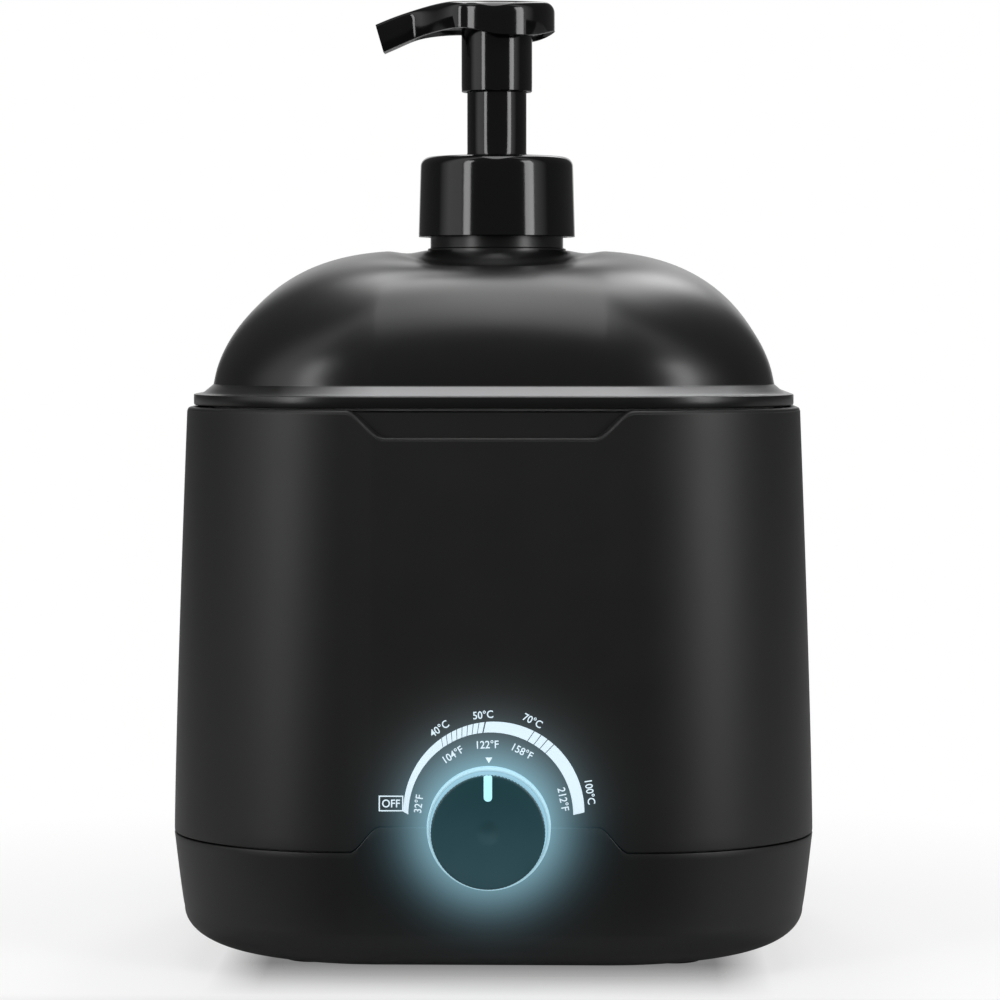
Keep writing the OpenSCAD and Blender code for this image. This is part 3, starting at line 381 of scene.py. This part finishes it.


# The reach of the painted glow of the ring's light on the housing.
GLOW_FROM, GLOW_REACH, GLOW_TAIL = 14.0, 7.57, 15.2  # mm from the knob's axis, then fading


def moulded(name, colour, rough, grain, depth, mottle=0.12, glow=False):
    """Moulded plastic or rubber: a fine bump of grain mm, slightly uneven gloss and shade,
    and, on the housing, a painted glow of the ring's light in the emission colour, fading away over
    the front, farther upwards."""
    f = Finish(name)
    where = f.place()
    cloud = f.noise(where, 14.0, 3.0)
    fine = f.noise(where, grain, 1.0)
    shade = f.blend(cloud, [c * (1 - mottle) for c in colour], [c * (1 + mottle) for c in colour])
    uneven = rough * (0.94 + cloud * 0.12)
    bump = f.node("Bump", None, Strength=0.35, Distance=depth * MM, Height=fine)
    shader = f.node("BsdfPrincipled", None, shade, Roughness=uneven, Normal=bump)
    if glow:
        # Painted glow: the ring's light on the housing is painted into its emission colour, fading
        # away from the knob, with a faint grey tail above it.
        x, y, z = f.axes(where)
        rise = z - KNOB_Z
        away = (x * x + rise * rise).math("SQRT")
        beyond = (away - GLOW_FROM).math("MAXIMUM", 0.0)
        fade = (-1.0 * (beyond / GLOW_REACH) ** 1.54).math("EXPONENT")
        above = rise / (away + 1.0)
        front = ((-60.0 - y) / 10.0).clip()
        tail = (-1.0 * (beyond / GLOW_TAIL) ** 2.0).math("EXPONENT") * above.clip() * front
        tint = f.blend(fade * (1.0 + above * 0.12) * front,
                       f.blend(tail, (0, 0, 0), (0.07, 0.073, 0.073)), (0.19, 0.36, 0.435))
        sockets = shader.socket.node.inputs
        f.tree.links.new(tint.socket, sockets["Emission Color"])
        sockets["Emission Strength"].default_value = 1.0
    return f.done(shader)


housing_black_with_painted_glow = moulded("satin black housing with painted glow", (0.0065, 0.0068, 0.0065), 0.46, 0.35, 0.012,
                        glow=True)


def dress(piece, material, body=None, slot=None, *stands_for):
    """Gives a piece its material and says what it rides on and what it stands for."""
    piece.data.materials.clear()
    piece.data.materials.append(material)
    if body:
        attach(piece, body)
    if stands_for:
        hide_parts(*stands_for)


dress(base, housing_black_with_painted_glow, "housing", "housing_plastic", "base_shell")


# Upper shell: the tall moulded wall of the same black ABS, with a finger notch in its rim.
# It drops over the base's tongue and takes the screws in bosses.
RIM_Z, TAPER = 150.0, 3.7
LEDGE_Z, LEDGE_W = 139.0, 1.8           # the ledge inside that carries the deck


def upper_half(z):
    """Half width at height z: it draws in by TAPER towards the rim, faster near the top."""
    return SEAM_HALF - TAPER * (np.clip(z - SEAM_Z, 0, None) / (RIM_Z - SEAM_Z)) ** 1.25


foot, rim = SEAM_Z + tab + 0.35, RIM_Z - notch
upright = [(upper_half(z), z) for z in
           (foot + 0.6 + (rim - 1.6 - foot) * s for s in np.linspace(0, 1, 40))]
w, v = upper_half(rim), upper_half(LEDGE_Z) - WALL
rows = ([(upper_half(foot) - 0.4, foot), (upper_half(foot) - 0.15, foot + 0.03),
         (upper_half(foot) - 0.04, foot + 0.12)] + upright
        + [(w - 0.03, rim - 0.95), (w - 0.16, rim - 0.52), (w - 0.42, rim - 0.2),
           (w - 0.8, rim - 0.04), (w - 1.2, rim), (w - WALL + 0.3, rim), (w - WALL, rim - 0.3),
           (v, LEDGE_Z), (v - LEDGE_W, LEDGE_Z), (v - LEDGE_W, LEDGE_Z - 2.5), (v, LEDGE_Z - 4.5),
           (upper_half(foot + TONGUE_H) - WALL, foot + LAP_H),
           (upper_half(foot) - LAP_W, foot + LAP_H), (upper_half(foot) - LAP_W, foot)])
upper = skin("housing_upper", wall(*section(*rows)), (True, True))
carve(upper, ring_hole)
dress(upper, housing_black_with_painted_glow, "housing", "housing_plastic", "upper_shell")

# Deck: a plate of black ABS moulded round the tank's mouth, kept as the CAD has it. It lies
# on the upper shell's ledge and shows through the finger notch.
deck_black = moulded("satin black deck", (0.010, 0.010, 0.010), 0.45, 0.35, 0.012)
dress(nodes["well_collar"], deck_black)

# Feet: four moulded rubber discs, kept as the CAD has them. They are pushed into the base
# over its screws.
rubber = moulded("matt black rubber", (0.012, 0.012, 0.012), 0.75, 0.25, 0.03)
for name in ("foot_front_left", "foot_front_right", "foot_rear_left", "foot_rear_right"):
    dress(nodes[name], rubber)

# Lid: one moulding of black ABS, a thin brim, a dome that blends from the rounded square to
# the round pump neck, and a vent hole. It sits loose on the deck on a silicone seal.
BRIM_Z, BRIM_HALF, DOME_HALF = 150.4, 80.6, 75.5
DOME_Z, DOME_H, DOME_DIP, NECK_DISH = 154.7, 38.2, 5.5, 0.8
NECK_R, NECK_TOP, NECK_BORE, NECK_FOOT = 18.65, 212.6, 16.3, 188.4
plan_far = np.linalg.norm(plan, axis=1)
straight = (plan[:, 1] / plan_far) ** 2     # 1 in front and behind, 0 at the sides


def dome(t, inset):
    """Points of the dome: t runs from 0 at the neck to 1 at the foot, inset is how far the
    surface lies inside the outer one. Front and back dip lower than the sides."""
    t = t[None, :]
    reach = NECK_R + (DOME_HALF - NECK_R) * t - inset * t
    share = t * t + (1 - t * t) / plan_far[:, None]
    rise = (DOME_H * (1 - t ** 2.8) ** 0.565
            - DOME_DIP * straight[:, None] * np.sin(np.pi * np.sqrt(np.minimum(t / 0.8, 1))) ** 2
            - NECK_DISH * np.sin(np.pi * np.minimum(t / 0.22, 1)) ** 2)
    grid = np.empty((len(plan), t.shape[1], 3))
    grid[..., :2] = plan[:, None, :] * (share * reach)[..., None]
    grid[..., 2] = DOME_Z + rise - inset * np.sqrt(1 - t * t)
    return crease(grid, plan_normals)


def collar_rows(rows):
    """Round rows about the pump's axis, one point per column of the plan."""
    radius, height = np.array(rows, float).T
    grid = np.empty((len(plan), len(radius), 3))
    grid[..., :2] = (plan / plan_far[:, None])[:, None, :] * radius[None, :, None]
    grid[..., 2] = height
    return grid


brim_top = BRIM_Z + 3.05
DOME_START = 0.997                      # how far out the dome takes over from the brim
brim = [(BRIM_HALF - 0.5, BRIM_Z), (BRIM_HALF - 0.15, BRIM_Z + 0.12), (BRIM_HALF, BRIM_Z + 0.5),
        (BRIM_HALF, brim_top - 0.3), (BRIM_HALF - 0.06, brim_top - 0.1),
        (BRIM_HALF - 0.3, brim_top), (79.0, brim_top), (78.6, brim_top + 0.08),
        (78.2, brim_top + 0.32), (77.4, brim_top + 0.98), (76.6, brim_top + 1.66),
        (75.9, brim_top + 2.26), (75.55, brim_top + 2.6)]
inner = [(DOME_HALF - WALL, BRIM_Z), (74.1, BRIM_Z), (74.1, BRIM_Z + 0.7), (76.3, BRIM_Z + 0.7),
         (76.3, BRIM_Z)]
steps = np.linspace(math.asin(DOME_START), 0, 64)
neck = ([(NECK_R + 0.75, 192.85), (NECK_R + 0.75, 193.2), (NECK_R + 0.6, 193.35),
         (NECK_R + 0.25, 193.4), (NECK_R + 0.02, 193.55), (NECK_R, 193.8)]
        + [(NECK_R, z) for z in (197, 200, 204, 208, 212)]
        + [(NECK_R - 0.1, 212.4), (NECK_R - 0.4, NECK_TOP), (NECK_BORE + 0.2, NECK_TOP),
           (NECK_BORE, NECK_TOP - 0.3), (NECK_BORE, NECK_FOOT), (NECK_R, NECK_FOOT)])
grid = np.concatenate([wall(*section(*brim)), dome(np.sin(steps), 0.0)[:, 1:-1],
                       collar_rows(neck), dome(np.sin(steps[::-2]), WALL)[:, 1:],
                       wall(*section(*inner))], 1)
lid = skin("lid_dome", grid, (True, True))
carve(lid, round_bar(1.4, 170, 205, (35.5, -3, 0), sides=48))   # the vent hole
f = Finish("satin black lid with painted highlight")
where = f.place()
x, y, z = f.axes(where)
cloud = f.noise(where, 14.0, 3.0)
highlight_span = ((x + 56.0) / 26.0).clip() * ((73.0 - x) / 10.0).clip()
# The slope of the brim is painted light grey and a little metallic in the middle of its length: a
# painted highlight.
painted_highlight = ((z - brim_top + 0.2) / 0.4).clip() * ((brim_top + 2.9 - z) / 0.5).clip() * highlight_span
shade = f.blend(painted_highlight, f.blend(cloud, (0.0057, 0.0060, 0.0057), (0.0073, 0.0076, 0.0073)),
                (0.24, 0.24, 0.245))
bump = f.node("Bump", None, Strength=0.35, Distance=0.01 * MM, Height=f.noise(where, 0.35, 1.0))
lid_black_with_painted_highlight = f.done(f.node("BsdfPrincipled", None, shade, Metallic=painted_highlight * 0.10,
                          Roughness=0.28 + cloud * 0.04, Normal=bump))
dress(lid, lid_black_with_painted_highlight, "cover", "housing_plastic", "lid")


# Screw cap of the foam pump: glossy black polypropylene with a rounded shoulder and a guide
# chimney in one piece. It screws on the lid's neck and clamps the pump's flange.
def lathe(name, rows, sides=192):
    """A turned surface round the pump's axis from rows of (radius, height)."""
    a = np.linspace(0, 2 * math.pi, sides, endpoint=False)
    radius, height = np.array(rows, float).T
    grid = np.empty((sides, len(radius), 3))
    grid[..., 0] = np.cos(a)[:, None] * radius
    grid[..., 1] = np.sin(a)[:, None] * radius
    grid[..., 2] = height
    return skin(name, grid, (True, True))


CAP_Z, CAP_TOP, CAP_R, CAP_BORE = 196.6, 219.0, 22.0, 19.9
SHOULDER, CHIMNEY_R, CHIMNEY_TOP = 2.7, 8.35, 240.0
a = np.radians(np.linspace(0, 90, 14))
shoulder = zip(CAP_R - 0.55 - SHOULDER + SHOULDER * np.cos(a),
               CAP_TOP - SHOULDER + SHOULDER * np.sin(a))
cap_rows = ([(CAP_BORE, CAP_Z), (CAP_R - 0.2, CAP_Z), (CAP_R, CAP_Z + 0.2)]
            + [(CAP_R - 0.125 * k, CAP_Z + 1 + 4.3 * k) for k in range(5)]
            + list(shoulder)
            + [(9.6, CAP_TOP + 0.15), (9.0, CAP_TOP + 0.25), (8.5, CAP_TOP + 0.6),
               (CHIMNEY_R, CAP_TOP + 1.1)]
            + [(CHIMNEY_R, z) for z in (225, 230, 235, 239.6)]
            + [(CHIMNEY_R - 0.2, CHIMNEY_TOP), (7.2, CHIMNEY_TOP), (7.0, CHIMNEY_TOP - 0.2),
               (7.0, 216.7), (CAP_BORE, 216.7)])
cap = lathe("pump_cap", cap_rows)
gloss_black = moulded("gloss black pump", (0.0045, 0.0045, 0.005), 0.10, 6.0, 0.02, 0.1)
dress(cap, gloss_black, "cap", "pump_plastic", "collar")

# Press head: glossy black polypropylene, a rounded cap that runs out into a drooping spout,
# with a skirt that slides over the chimney. It is pressed on the stem and can swivel.
HEAD_TOP, SKIRT_Z, SKIRT_TOP = 261.9, 237.15, 257
HEAD_X, HEAD_R = -0.6, 16.9
SPOUT_END, SPOUT_HALF = -33.9, 4.3


def head_half(x):
    """Half width of the head: a round disc that narrows through a waist into the spout."""
    disc = np.sqrt(np.clip(HEAD_R ** 2 - (x - HEAD_X) ** 2, 0.09, None))
    spout = SPOUT_HALF + (15.2 - SPOUT_HALF) * ease((x + 25) / 17)
    return np.where(x > -8, disc, spout)


def head_upper(x):
    """Height of its top: flat, rounded down behind, drooping towards the spout's end."""
    droop = 5.7 * (np.clip(-12 - x, 0, None) / 21.2) ** 1.6
    back = np.clip((x - 13.4) / 2.9, 0, 1)
    return HEAD_TOP - droop - 2.9 * (1 - np.sqrt(1 - back ** 2))


def head_lower(x):
    """Height of its lower edge, lowest beside the skirt and rising to both ends."""
    spout = HEAD_TOP - 7.9 - 4.7 * (np.clip(-10 - x, 0, None) / 20.8) ** 1.7
    front = HEAD_TOP - 7.9 - 2.1 * ease((x + 10) / 12)
    behind = HEAD_TOP - 10.0 + 2.1 * (np.clip(x - 8, 0, None) / 8.2) ** 2
    return np.where(x < -10, spout, np.where(x < 6, front, behind))


def loft(name, xs, around=96):
    """Sections across the head at each x: the top rounds over like a superellipse, the side
    stands upright and the underside is dished. The spout's end is cut at a slant."""
    a = np.linspace(0, 2 * math.pi, around, endpoint=False)
    half, top, low = head_half(xs), head_upper(xs), head_lower(xs)
    c, s = np.cos(a)[:, None], np.sin(a)[:, None]
    round_over = np.where(s > 0, np.minimum(5.0, 0.45 * (top - low)), 0.35)
    reach = np.sign(c) * np.abs(c) ** 0.3 * half
    edge = np.where(s > 0, top - round_over, low + round_over)
    height = edge + np.sign(s) * np.abs(s) ** 0.6 * round_over
    inside = np.clip(1.0 - np.abs(reach) / np.maximum(half - 1.4, 0.3), 0, 0.25) * 4.0
    height = np.where(s < -0.5, height + ease(inside) * 1.6 * ease((xs + 26) / 10), height)
    grid = np.empty((around, len(xs) + 2, 3))
    slant = 2.3 * ease((-19.0 - xs) / 14.0)
    grid[:, 1:-1, 0] = xs + slant * np.clip((top - height) / (top - low), 0, 1)
    grid[:, 1:-1, 1] = reach
    grid[:, 1:-1, 2] = height
    for end, k in ((0, 1), (-1, -2)):
        grid[:, end] = grid[:, k].mean(0) * (1, 0, 1)
    return skin(name, grid)


spout = np.linspace(SPOUT_END, -10, 26)
crown = np.linspace(-10, 2, 14)[1:]
behind = HEAD_X + HEAD_R * np.sin(np.radians(np.linspace(9, 89.4, 26)[1:]))
head = loft("pump_head_shell", np.concatenate([spout, crown, behind[behind > 2.2]]))
carve(head, round_bar(8.8, 240, 258.2, (0, 0, 0)))  # room for the chimney at full press
skirt = lathe("head_skirt", [(8.7, SKIRT_Z), (9.7, SKIRT_Z), (9.9, SKIRT_Z + 0.2)]
              + [(9.95, z) for z in (239, 244, 249, 254, SKIRT_TOP)] + [(8.7, SKIRT_TOP)])
dress(head, gloss_black, "press_head", "pump_plastic", "pump_head")
dress(skirt, gloss_black, "press_head", "pump_plastic")

# Temperature knob: dark ABS, ribbed round its rim, with a shallow dimple in its face. Its colour
# is painted blue-green for the ring's light, as painted light. It is pushed on the control's shaft.
KNOB_R, KNOB_BACK, KNOB_FRONT = 14.8, -86.7, -94.8
KNOB_SIDES, KNOB_RIBS = 768, 96


def turned_front(name, rows, sides, ribs=0, close=True):
    """A surface turned about the knob's axis from rows of (radius, y, rib depth)."""
    a = np.linspace(0, 2 * math.pi, sides, endpoint=False)
    radius, y, rib = np.array(rows, float).T
    wave = 0.5 - 0.5 * np.cos(ribs * a)
    reach = radius[None, :] - rib[None, :] * wave[:, None] ** 2
    grid = np.empty((sides, len(radius), 3))
    grid[..., 0] = np.cos(a)[:, None] * reach
    grid[..., 1] = y
    grid[..., 2] = np.sin(a)[:, None] * reach + KNOB_Z
    return skin(name, grid, (True, close))


dimple = [(r, KNOB_FRONT + 0.05 + 0.5 * math.cos(math.pi * r / 7.4) ** 2, 0)
          for r in np.linspace(0, 3.7, 10)]
knob_rows = (dimple + [(6, KNOB_FRONT + 0.05, 0), (10, KNOB_FRONT, 0), (14.2, KNOB_FRONT, 0)]
             + [(14.5, KNOB_FRONT + 0.06, 0.0), (14.7, KNOB_FRONT + 0.22, 0.0),
                (14.78, KNOB_FRONT + 0.5, 0.1), (KNOB_R - 0.1, KNOB_FRONT + 1.2, 0.2),
                (14.1, KNOB_BACK - 0.4, 0.2), (13.9, KNOB_BACK, 0.1), (12.6, KNOB_BACK, 0),
                (12.6, KNOB_FRONT + 3.5, 0), (0, KNOB_FRONT + 3.5, 0)])
knob = turned_front("dial_knob", knob_rows, KNOB_SIDES, KNOB_RIBS, False)
f = Finish("ribbed knob with painted glow")
where = f.place()
x, y, z = f.axes(where)
cloud = f.noise(where, 9.0, 3.0)
# Painted light and shade: the dark teal stands in for the ring's blue-green light on black ABS, and
# the colour grows lighter towards the bottom.
shade = f.blend(((KNOB_Z + KNOB_R - z) / (2.0 * KNOB_R)).clip() * (0.85 + cloud * 0.3),
                (0.012, 0.070, 0.084), (0.050, 0.125, 0.155))
bump = f.node("Bump", None, Strength=0.35, Distance=0.01 * MM, Height=f.noise(where, 0.3, 1.0))
knob_with_painted_glow = f.done(f.node("BsdfPrincipled", None, shade, Roughness=0.36 + cloud * 0.06,
                           Normal=bump))
dress(knob, knob_with_painted_glow, "dial", "knob_plastic", "knob")


# Pointer: a light guide of clear plastic let into the knob's face, rounded at its inner end.
# It carries the ring's light forward and turns with the knob.
def lit(name, colour, strength):
    """Clear plastic lit from behind: it shines by itself and is a little uneven. The pad print
    takes it too, as a painted glow.
    """
    f = Finish(name)
    where = f.place()
    cloud = f.noise(where, 5.0, 2.0)
    tint = f.blend(cloud, [c * 0.94 for c in colour], colour)
    shader = f.node("BsdfPrincipled", None, tint, Roughness=0.3 + cloud * 0.1)
    sockets = shader.socket.node.inputs
    f.tree.links.new(tint.socket, sockets["Emission Color"])
    sockets["Emission Strength"].default_value = strength
    return f.done(shader)


BAR_HALF, BAR_INNER, BAR_MIDDLE = 1.08, 9.2, (0.0, 11.8)
turn = np.radians(np.linspace(180, 360, 25))
edge = np.column_stack([BAR_HALF * np.cos(turn), BAR_INNER + BAR_HALF * np.sin(turn)])
edge = np.concatenate([edge, [(BAR_HALF, 14.66), (0.5, 14.74), (-0.5, 14.74), (-BAR_HALF, 14.66)]])
share, y = np.array([(0, 1.2), (1, 1.2), (1, -0.05), (0.9, -0.11), (0, -0.11)]).T
grid = np.empty((len(edge), len(y), 3))
grid[..., ::2] = (edge - BAR_MIDDLE)[:, None] * share[:, None] + BAR_MIDDLE + (0, KNOB_Z)
grid[..., 1] = KNOB_FRONT + y
pointer = skin("dial_pointer", grid, (True, False))
pointer_light = lit("lit pointer", (0.36, 0.70, 0.79), 0.95)
dress(pointer, pointer_light, "dial", "light_plastic", "knob_pointer")

# Light ring: a moulded ring of translucent plastic with a slim lip in front. It is pushed
# into the shells from inside and lit by the diodes of the small board behind it.
ring_light = lit("lit ring", (0.42, 0.67, 0.78), 0.62)
ring_rows = [(15.2, -88.6, 0), (15.4, -88.9, 0), (15.75, -88.9, 0), (15.95, -88.6, 0),
             (RING_R, -86.0, 0), (RING_R, -80.6, 0), (12.3, -80.6, 0), (12.3, -86.3, 0),
             (15.1, -86.3, 0)]
ring = turned_front("dial_ring", ring_rows, 240)
dress(ring, ring_light, "housing", "light_plastic", "light_ring")

# Scale: white pad printing on the front round the ring, bands and blocks with the marks of
# the temperatures, and a boxed OFF.
PRINT_OUT, LETTER_H = 0.05, 2.1
OUTER_R, OUTER_MIDDLE = 23.5, (1.3, 4.2)
INNER_R, INNER_MIDDLE = 21.4, (0.5, 3.5)


def on_face(x, z):
    """Points just in front of the upper shell's front, leaning back beyond its creases."""
    y = -upper_half(z) + CREASE * np.clip(np.abs(x) - CREASE_X, 0, None) - PRINT_OUT
    return np.stack([x, y, z], -1)


def band(start, end):
    """Part of the scale between two angles from upright, between two arcs whose middles
    differ, so that it is wider towards the hot end."""
    a = np.radians(np.linspace(start, end, max(3, int((end - start) / 1.2))))
    ray = np.stack([np.sin(a), np.cos(a)], -1)
    outer, inner = OUTER_MIDDLE + OUTER_R * ray, INNER_MIDDLE + INNER_R * ray
    return np.stack([inner + (outer - inner) * s for s in (0, 0.5, 1)], 1)


def frame_line(low, high, wide):
    """The outline of a box, as four corners outside and four inside."""
    corners = np.array([low, (high[0], low[1]), high, (low[0], high[1])])
    inside = corners - np.sign(corners - corners.mean(0)) * wide
    return np.stack([np.vstack([corners, corners[:1]]), np.vstack([inside, inside[:1]])], 1)


def mark(text, place, lean):
    """A word set upright, made a mesh, then turned by lean degrees and moved to place."""
    curve = bpy.data.curves.new("mark", "FONT")
    curve.body, curve.align_x, curve.offset, curve.resolution_u = text, "CENTER", 0.012, 4
    word = bpy.data.objects.new("mark", curve)
    scene.collection.objects.link(word)
    depsgraph = bpy.context.evaluated_depsgraph_get()
    mesh = bpy.data.meshes.new_from_object(word.evaluated_get(depsgraph))
    points = np.empty((len(mesh.vertices), 3), np.float32)
    mesh.vertices.foreach_get("co", points.ravel())
    points = points[:, :2].astype(float)
    faces = [tuple(p.vertices) for p in mesh.polygons]
    bpy.data.objects.remove(word)
    low, high = points.min(0), points.max(0)
    points = (points - (low + high) / 2) * (LETTER_H / (high[1] - low[1])) * (0.94, 1)
    c, s = math.cos(math.radians(lean)), math.sin(math.radians(lean))
    return points @ np.array([[c, -s], [s, c]]) + place, faces


print_points, print_faces = [], []


def lay(points, faces):
    """Adds points, in mm from the knob's axis, and their faces to the print."""
    start = sum(len(p) for p in print_points)
    print_points.append(np.asarray(points))
    print_faces.extend(tuple(start + k for k in face) for face in faces)


steps = [(-90, -35.6)] + [(-35.2 + 3.72 * k, -31.95 + 3.72 * k) for k in range(8)]
steps += [(-5.0, 26.2)] + [(26.7 + 5.0 * k, 31.2 + 5.0 * k) for k in range(3)] + [(41.7, 90)]
for patch in [band(*step) for step in steps] + [frame_line((-28.6, 4.3), (-22.2, 8.4), 0.32)]:
    n, m = patch.shape[:2]
    lay(patch.reshape(-1, 2), [(i * m + j, (i + 1) * m + j, (i + 1) * m + j + 1, i * m + j + 1)
                               for i in range(n - 1) for j in range(m - 1)])
for text, place, lean in (
        ("OFF", (-25.4, 6.35), 0), ("32°F", (-18.3, 6.3), -83), ("40°C", (-12.9, 25.9), -35),
        ("104°F", (-9.3, 19.2), -33), ("50°C", (-1.5, 29.5), -5), ("122°F", (-0.3, 21.8), -2),
        ("70°C", (11.4, 28.0), 27), ("158°F", (8.8, 20.0), 27), ("100°C", (26.3, 9.4), 81),
        ("212°F", (19.4, 7.6), 79)):
    lay(*mark(text, place, lean))
lay([(-0.9, 18.4), (0.9, 18.4), (0, 16.9)], [(0, 1, 2)])
x, z = np.concatenate(print_points).T
points = (on_face(x, z + KNOB_Z) + (0, MIDDLE_Y, 0)) * MM
mesh = bpy.data.meshes.new("dial_scale")
mesh.from_pydata(points.tolist(), [], print_faces)
work = bmesh.new()
work.from_mesh(mesh)
turned = [face for face in work.faces if face.normal.y > 0]
bmesh.ops.reverse_faces(work, faces=turned)
work.to_mesh(mesh)
work.free()
scale = bpy.data.objects.new("dial_scale", mesh)
scene.collection.objects.link(scale)
# Painted glow: the white print shines by itself in a blue-white tint, standing in for the ring's
# light falling on it.
print_with_painted_glow = lit("pad print", (0.56, 0.68, 0.75), 0.85)
dress(scale, print_with_painted_glow, "housing", "light_plastic")

# Everything inside: the tank with its heater, the boards and wiring, and the pump's works,
# of metal, felt, silicone and plastic. They keep their CAD shapes.
silicone = moulded("grey silicone", (0.30, 0.30, 0.30), 0.6, 0.4, 0.02)
natural = moulded("natural polypropylene", (0.72, 0.72, 0.70), 0.4, 3.0, 0.02)
board_green = moulded("green board", (0.02, 0.12, 0.05), 0.35, 2.0, 0.02)
parts_blue = moulded("moulded parts", (0.03, 0.05, 0.20), 0.4, 1.0, 0.02)
felt = moulded("needled felt", (0.55, 0.53, 0.46), 0.95, 0.8, 0.4, 0.25)
mesh_white = moulded("fine mesh", (0.75, 0.75, 0.75), 0.8, 0.3, 0.2)
blue_wire = moulded("blue insulation", (0.03, 0.04, 0.30), 0.45, 1.0, 0.02)
red_wire = moulded("red insulation", (0.40, 0.03, 0.02), 0.45, 1.0, 0.02)
yellow_wire = moulded("yellow insulation", (0.60, 0.45, 0.04), 0.45, 1.0, 0.02)


def metal(name, colour, rough):
    """Bare metal: fine lines round the upright axis in its gloss and in a slight bump."""
    f = Finish(name)
    where = f.node("Mapping", None, f.place(), Scale=(1, 1, 12))
    lines = f.noise(where, 4.0, 4.0, 0.65)
    tint = f.blend(lines, [c * 0.9 for c in colour], colour)
    bump = f.node("Bump", None, Strength=0.25, Distance=0.01 * MM, Height=lines)
    shader = f.node("BsdfPrincipled", None, tint, Roughness=rough * (0.75 + lines * 0.5),
                    Normal=bump)
    shader.socket.node.inputs["Metallic"].default_value = 1.0
    return f.done(shader)


aluminium = metal("drawn aluminium", (0.78, 0.79, 0.81), 0.32)
steel = metal("zinc-plated steel", (0.58, 0.58, 0.60), 0.35)
brass = metal("bright brass", (0.75, 0.60, 0.28), 0.25)
inside = {
    "tank": aluminium, "tank_gasket": silicone, "tank_screws": steel, "tank_jacket": felt,
    "heater": steel, "heater_clamp": steel, "heater_nut": steel, "thermal_fuse": steel,
    "temperature_sensor": brass, "control_board": board_green, "board_parts": parts_blue,
    "board_screws": steel, "panel_bracket": steel, "bracket_screws": steel,
    "dial_control": steel, "dial_nut": brass, "light_board": board_green,
    "light_diodes": ring_light, "power_inlet": deck_black, "inlet_pins": brass,
    "inlet_leads": blue_wire, "heater_leads": red_wire, "panel_leads": yellow_wire,
    "shell_screws": steel, "dial_shaft": steel, "lid_seal": silicone, "pump_body": natural,
    "pump_gasket": silicone, "dip_tube": natural, "foot_valve": steel, "pump_stem": natural,
    "air_piston": natural, "liquid_piston": natural, "foam_mesh": mesh_white,
}
for name, material in inside.items():
    dress(nodes[name], material)

# Return spring of the pump: hard-drawn steel wire coiled cold. It stands in the liquid chamber
# under the small piston and shortens by the stroke as the head goes down.
COIL_R, WIRE_R, TURNS, STROKE = 4.2, 0.5, 8, 17.0
low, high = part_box("pump_spring")
tall = (high.z - low.z) / MM
s = np.linspace(0, 1, TURNS * 30 + 1)
a, b = 2 * math.pi * TURNS * s, np.linspace(0, 2 * math.pi, 12, endpoint=False)[:, None]
lean = math.atan2((tall - 2 * WIRE_R) / TURNS, 2 * math.pi * COIL_R)
out, up = COIL_R + WIRE_R * np.cos(b), WIRE_R * np.sin(b)
grid = np.empty((12, len(s) + 2, 3))
grid[:, 1:-1, 0] = out * np.cos(a) + up * math.sin(lean) * np.sin(a)
grid[:, 1:-1, 1] = out * np.sin(a) - up * math.sin(lean) * np.cos(a)
grid[:, 1:-1, 2] = low.z / MM + WIRE_R + (tall - 2 * WIRE_R) * s + up * math.cos(lean)
grid[:, 0], grid[:, -1] = grid[:, 1].mean(0), grid[:, -2].mean(0)
spring = skin("return_spring", grid)
dress(spring, steel, "pump", "steel", "pump_spring")
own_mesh(spring)
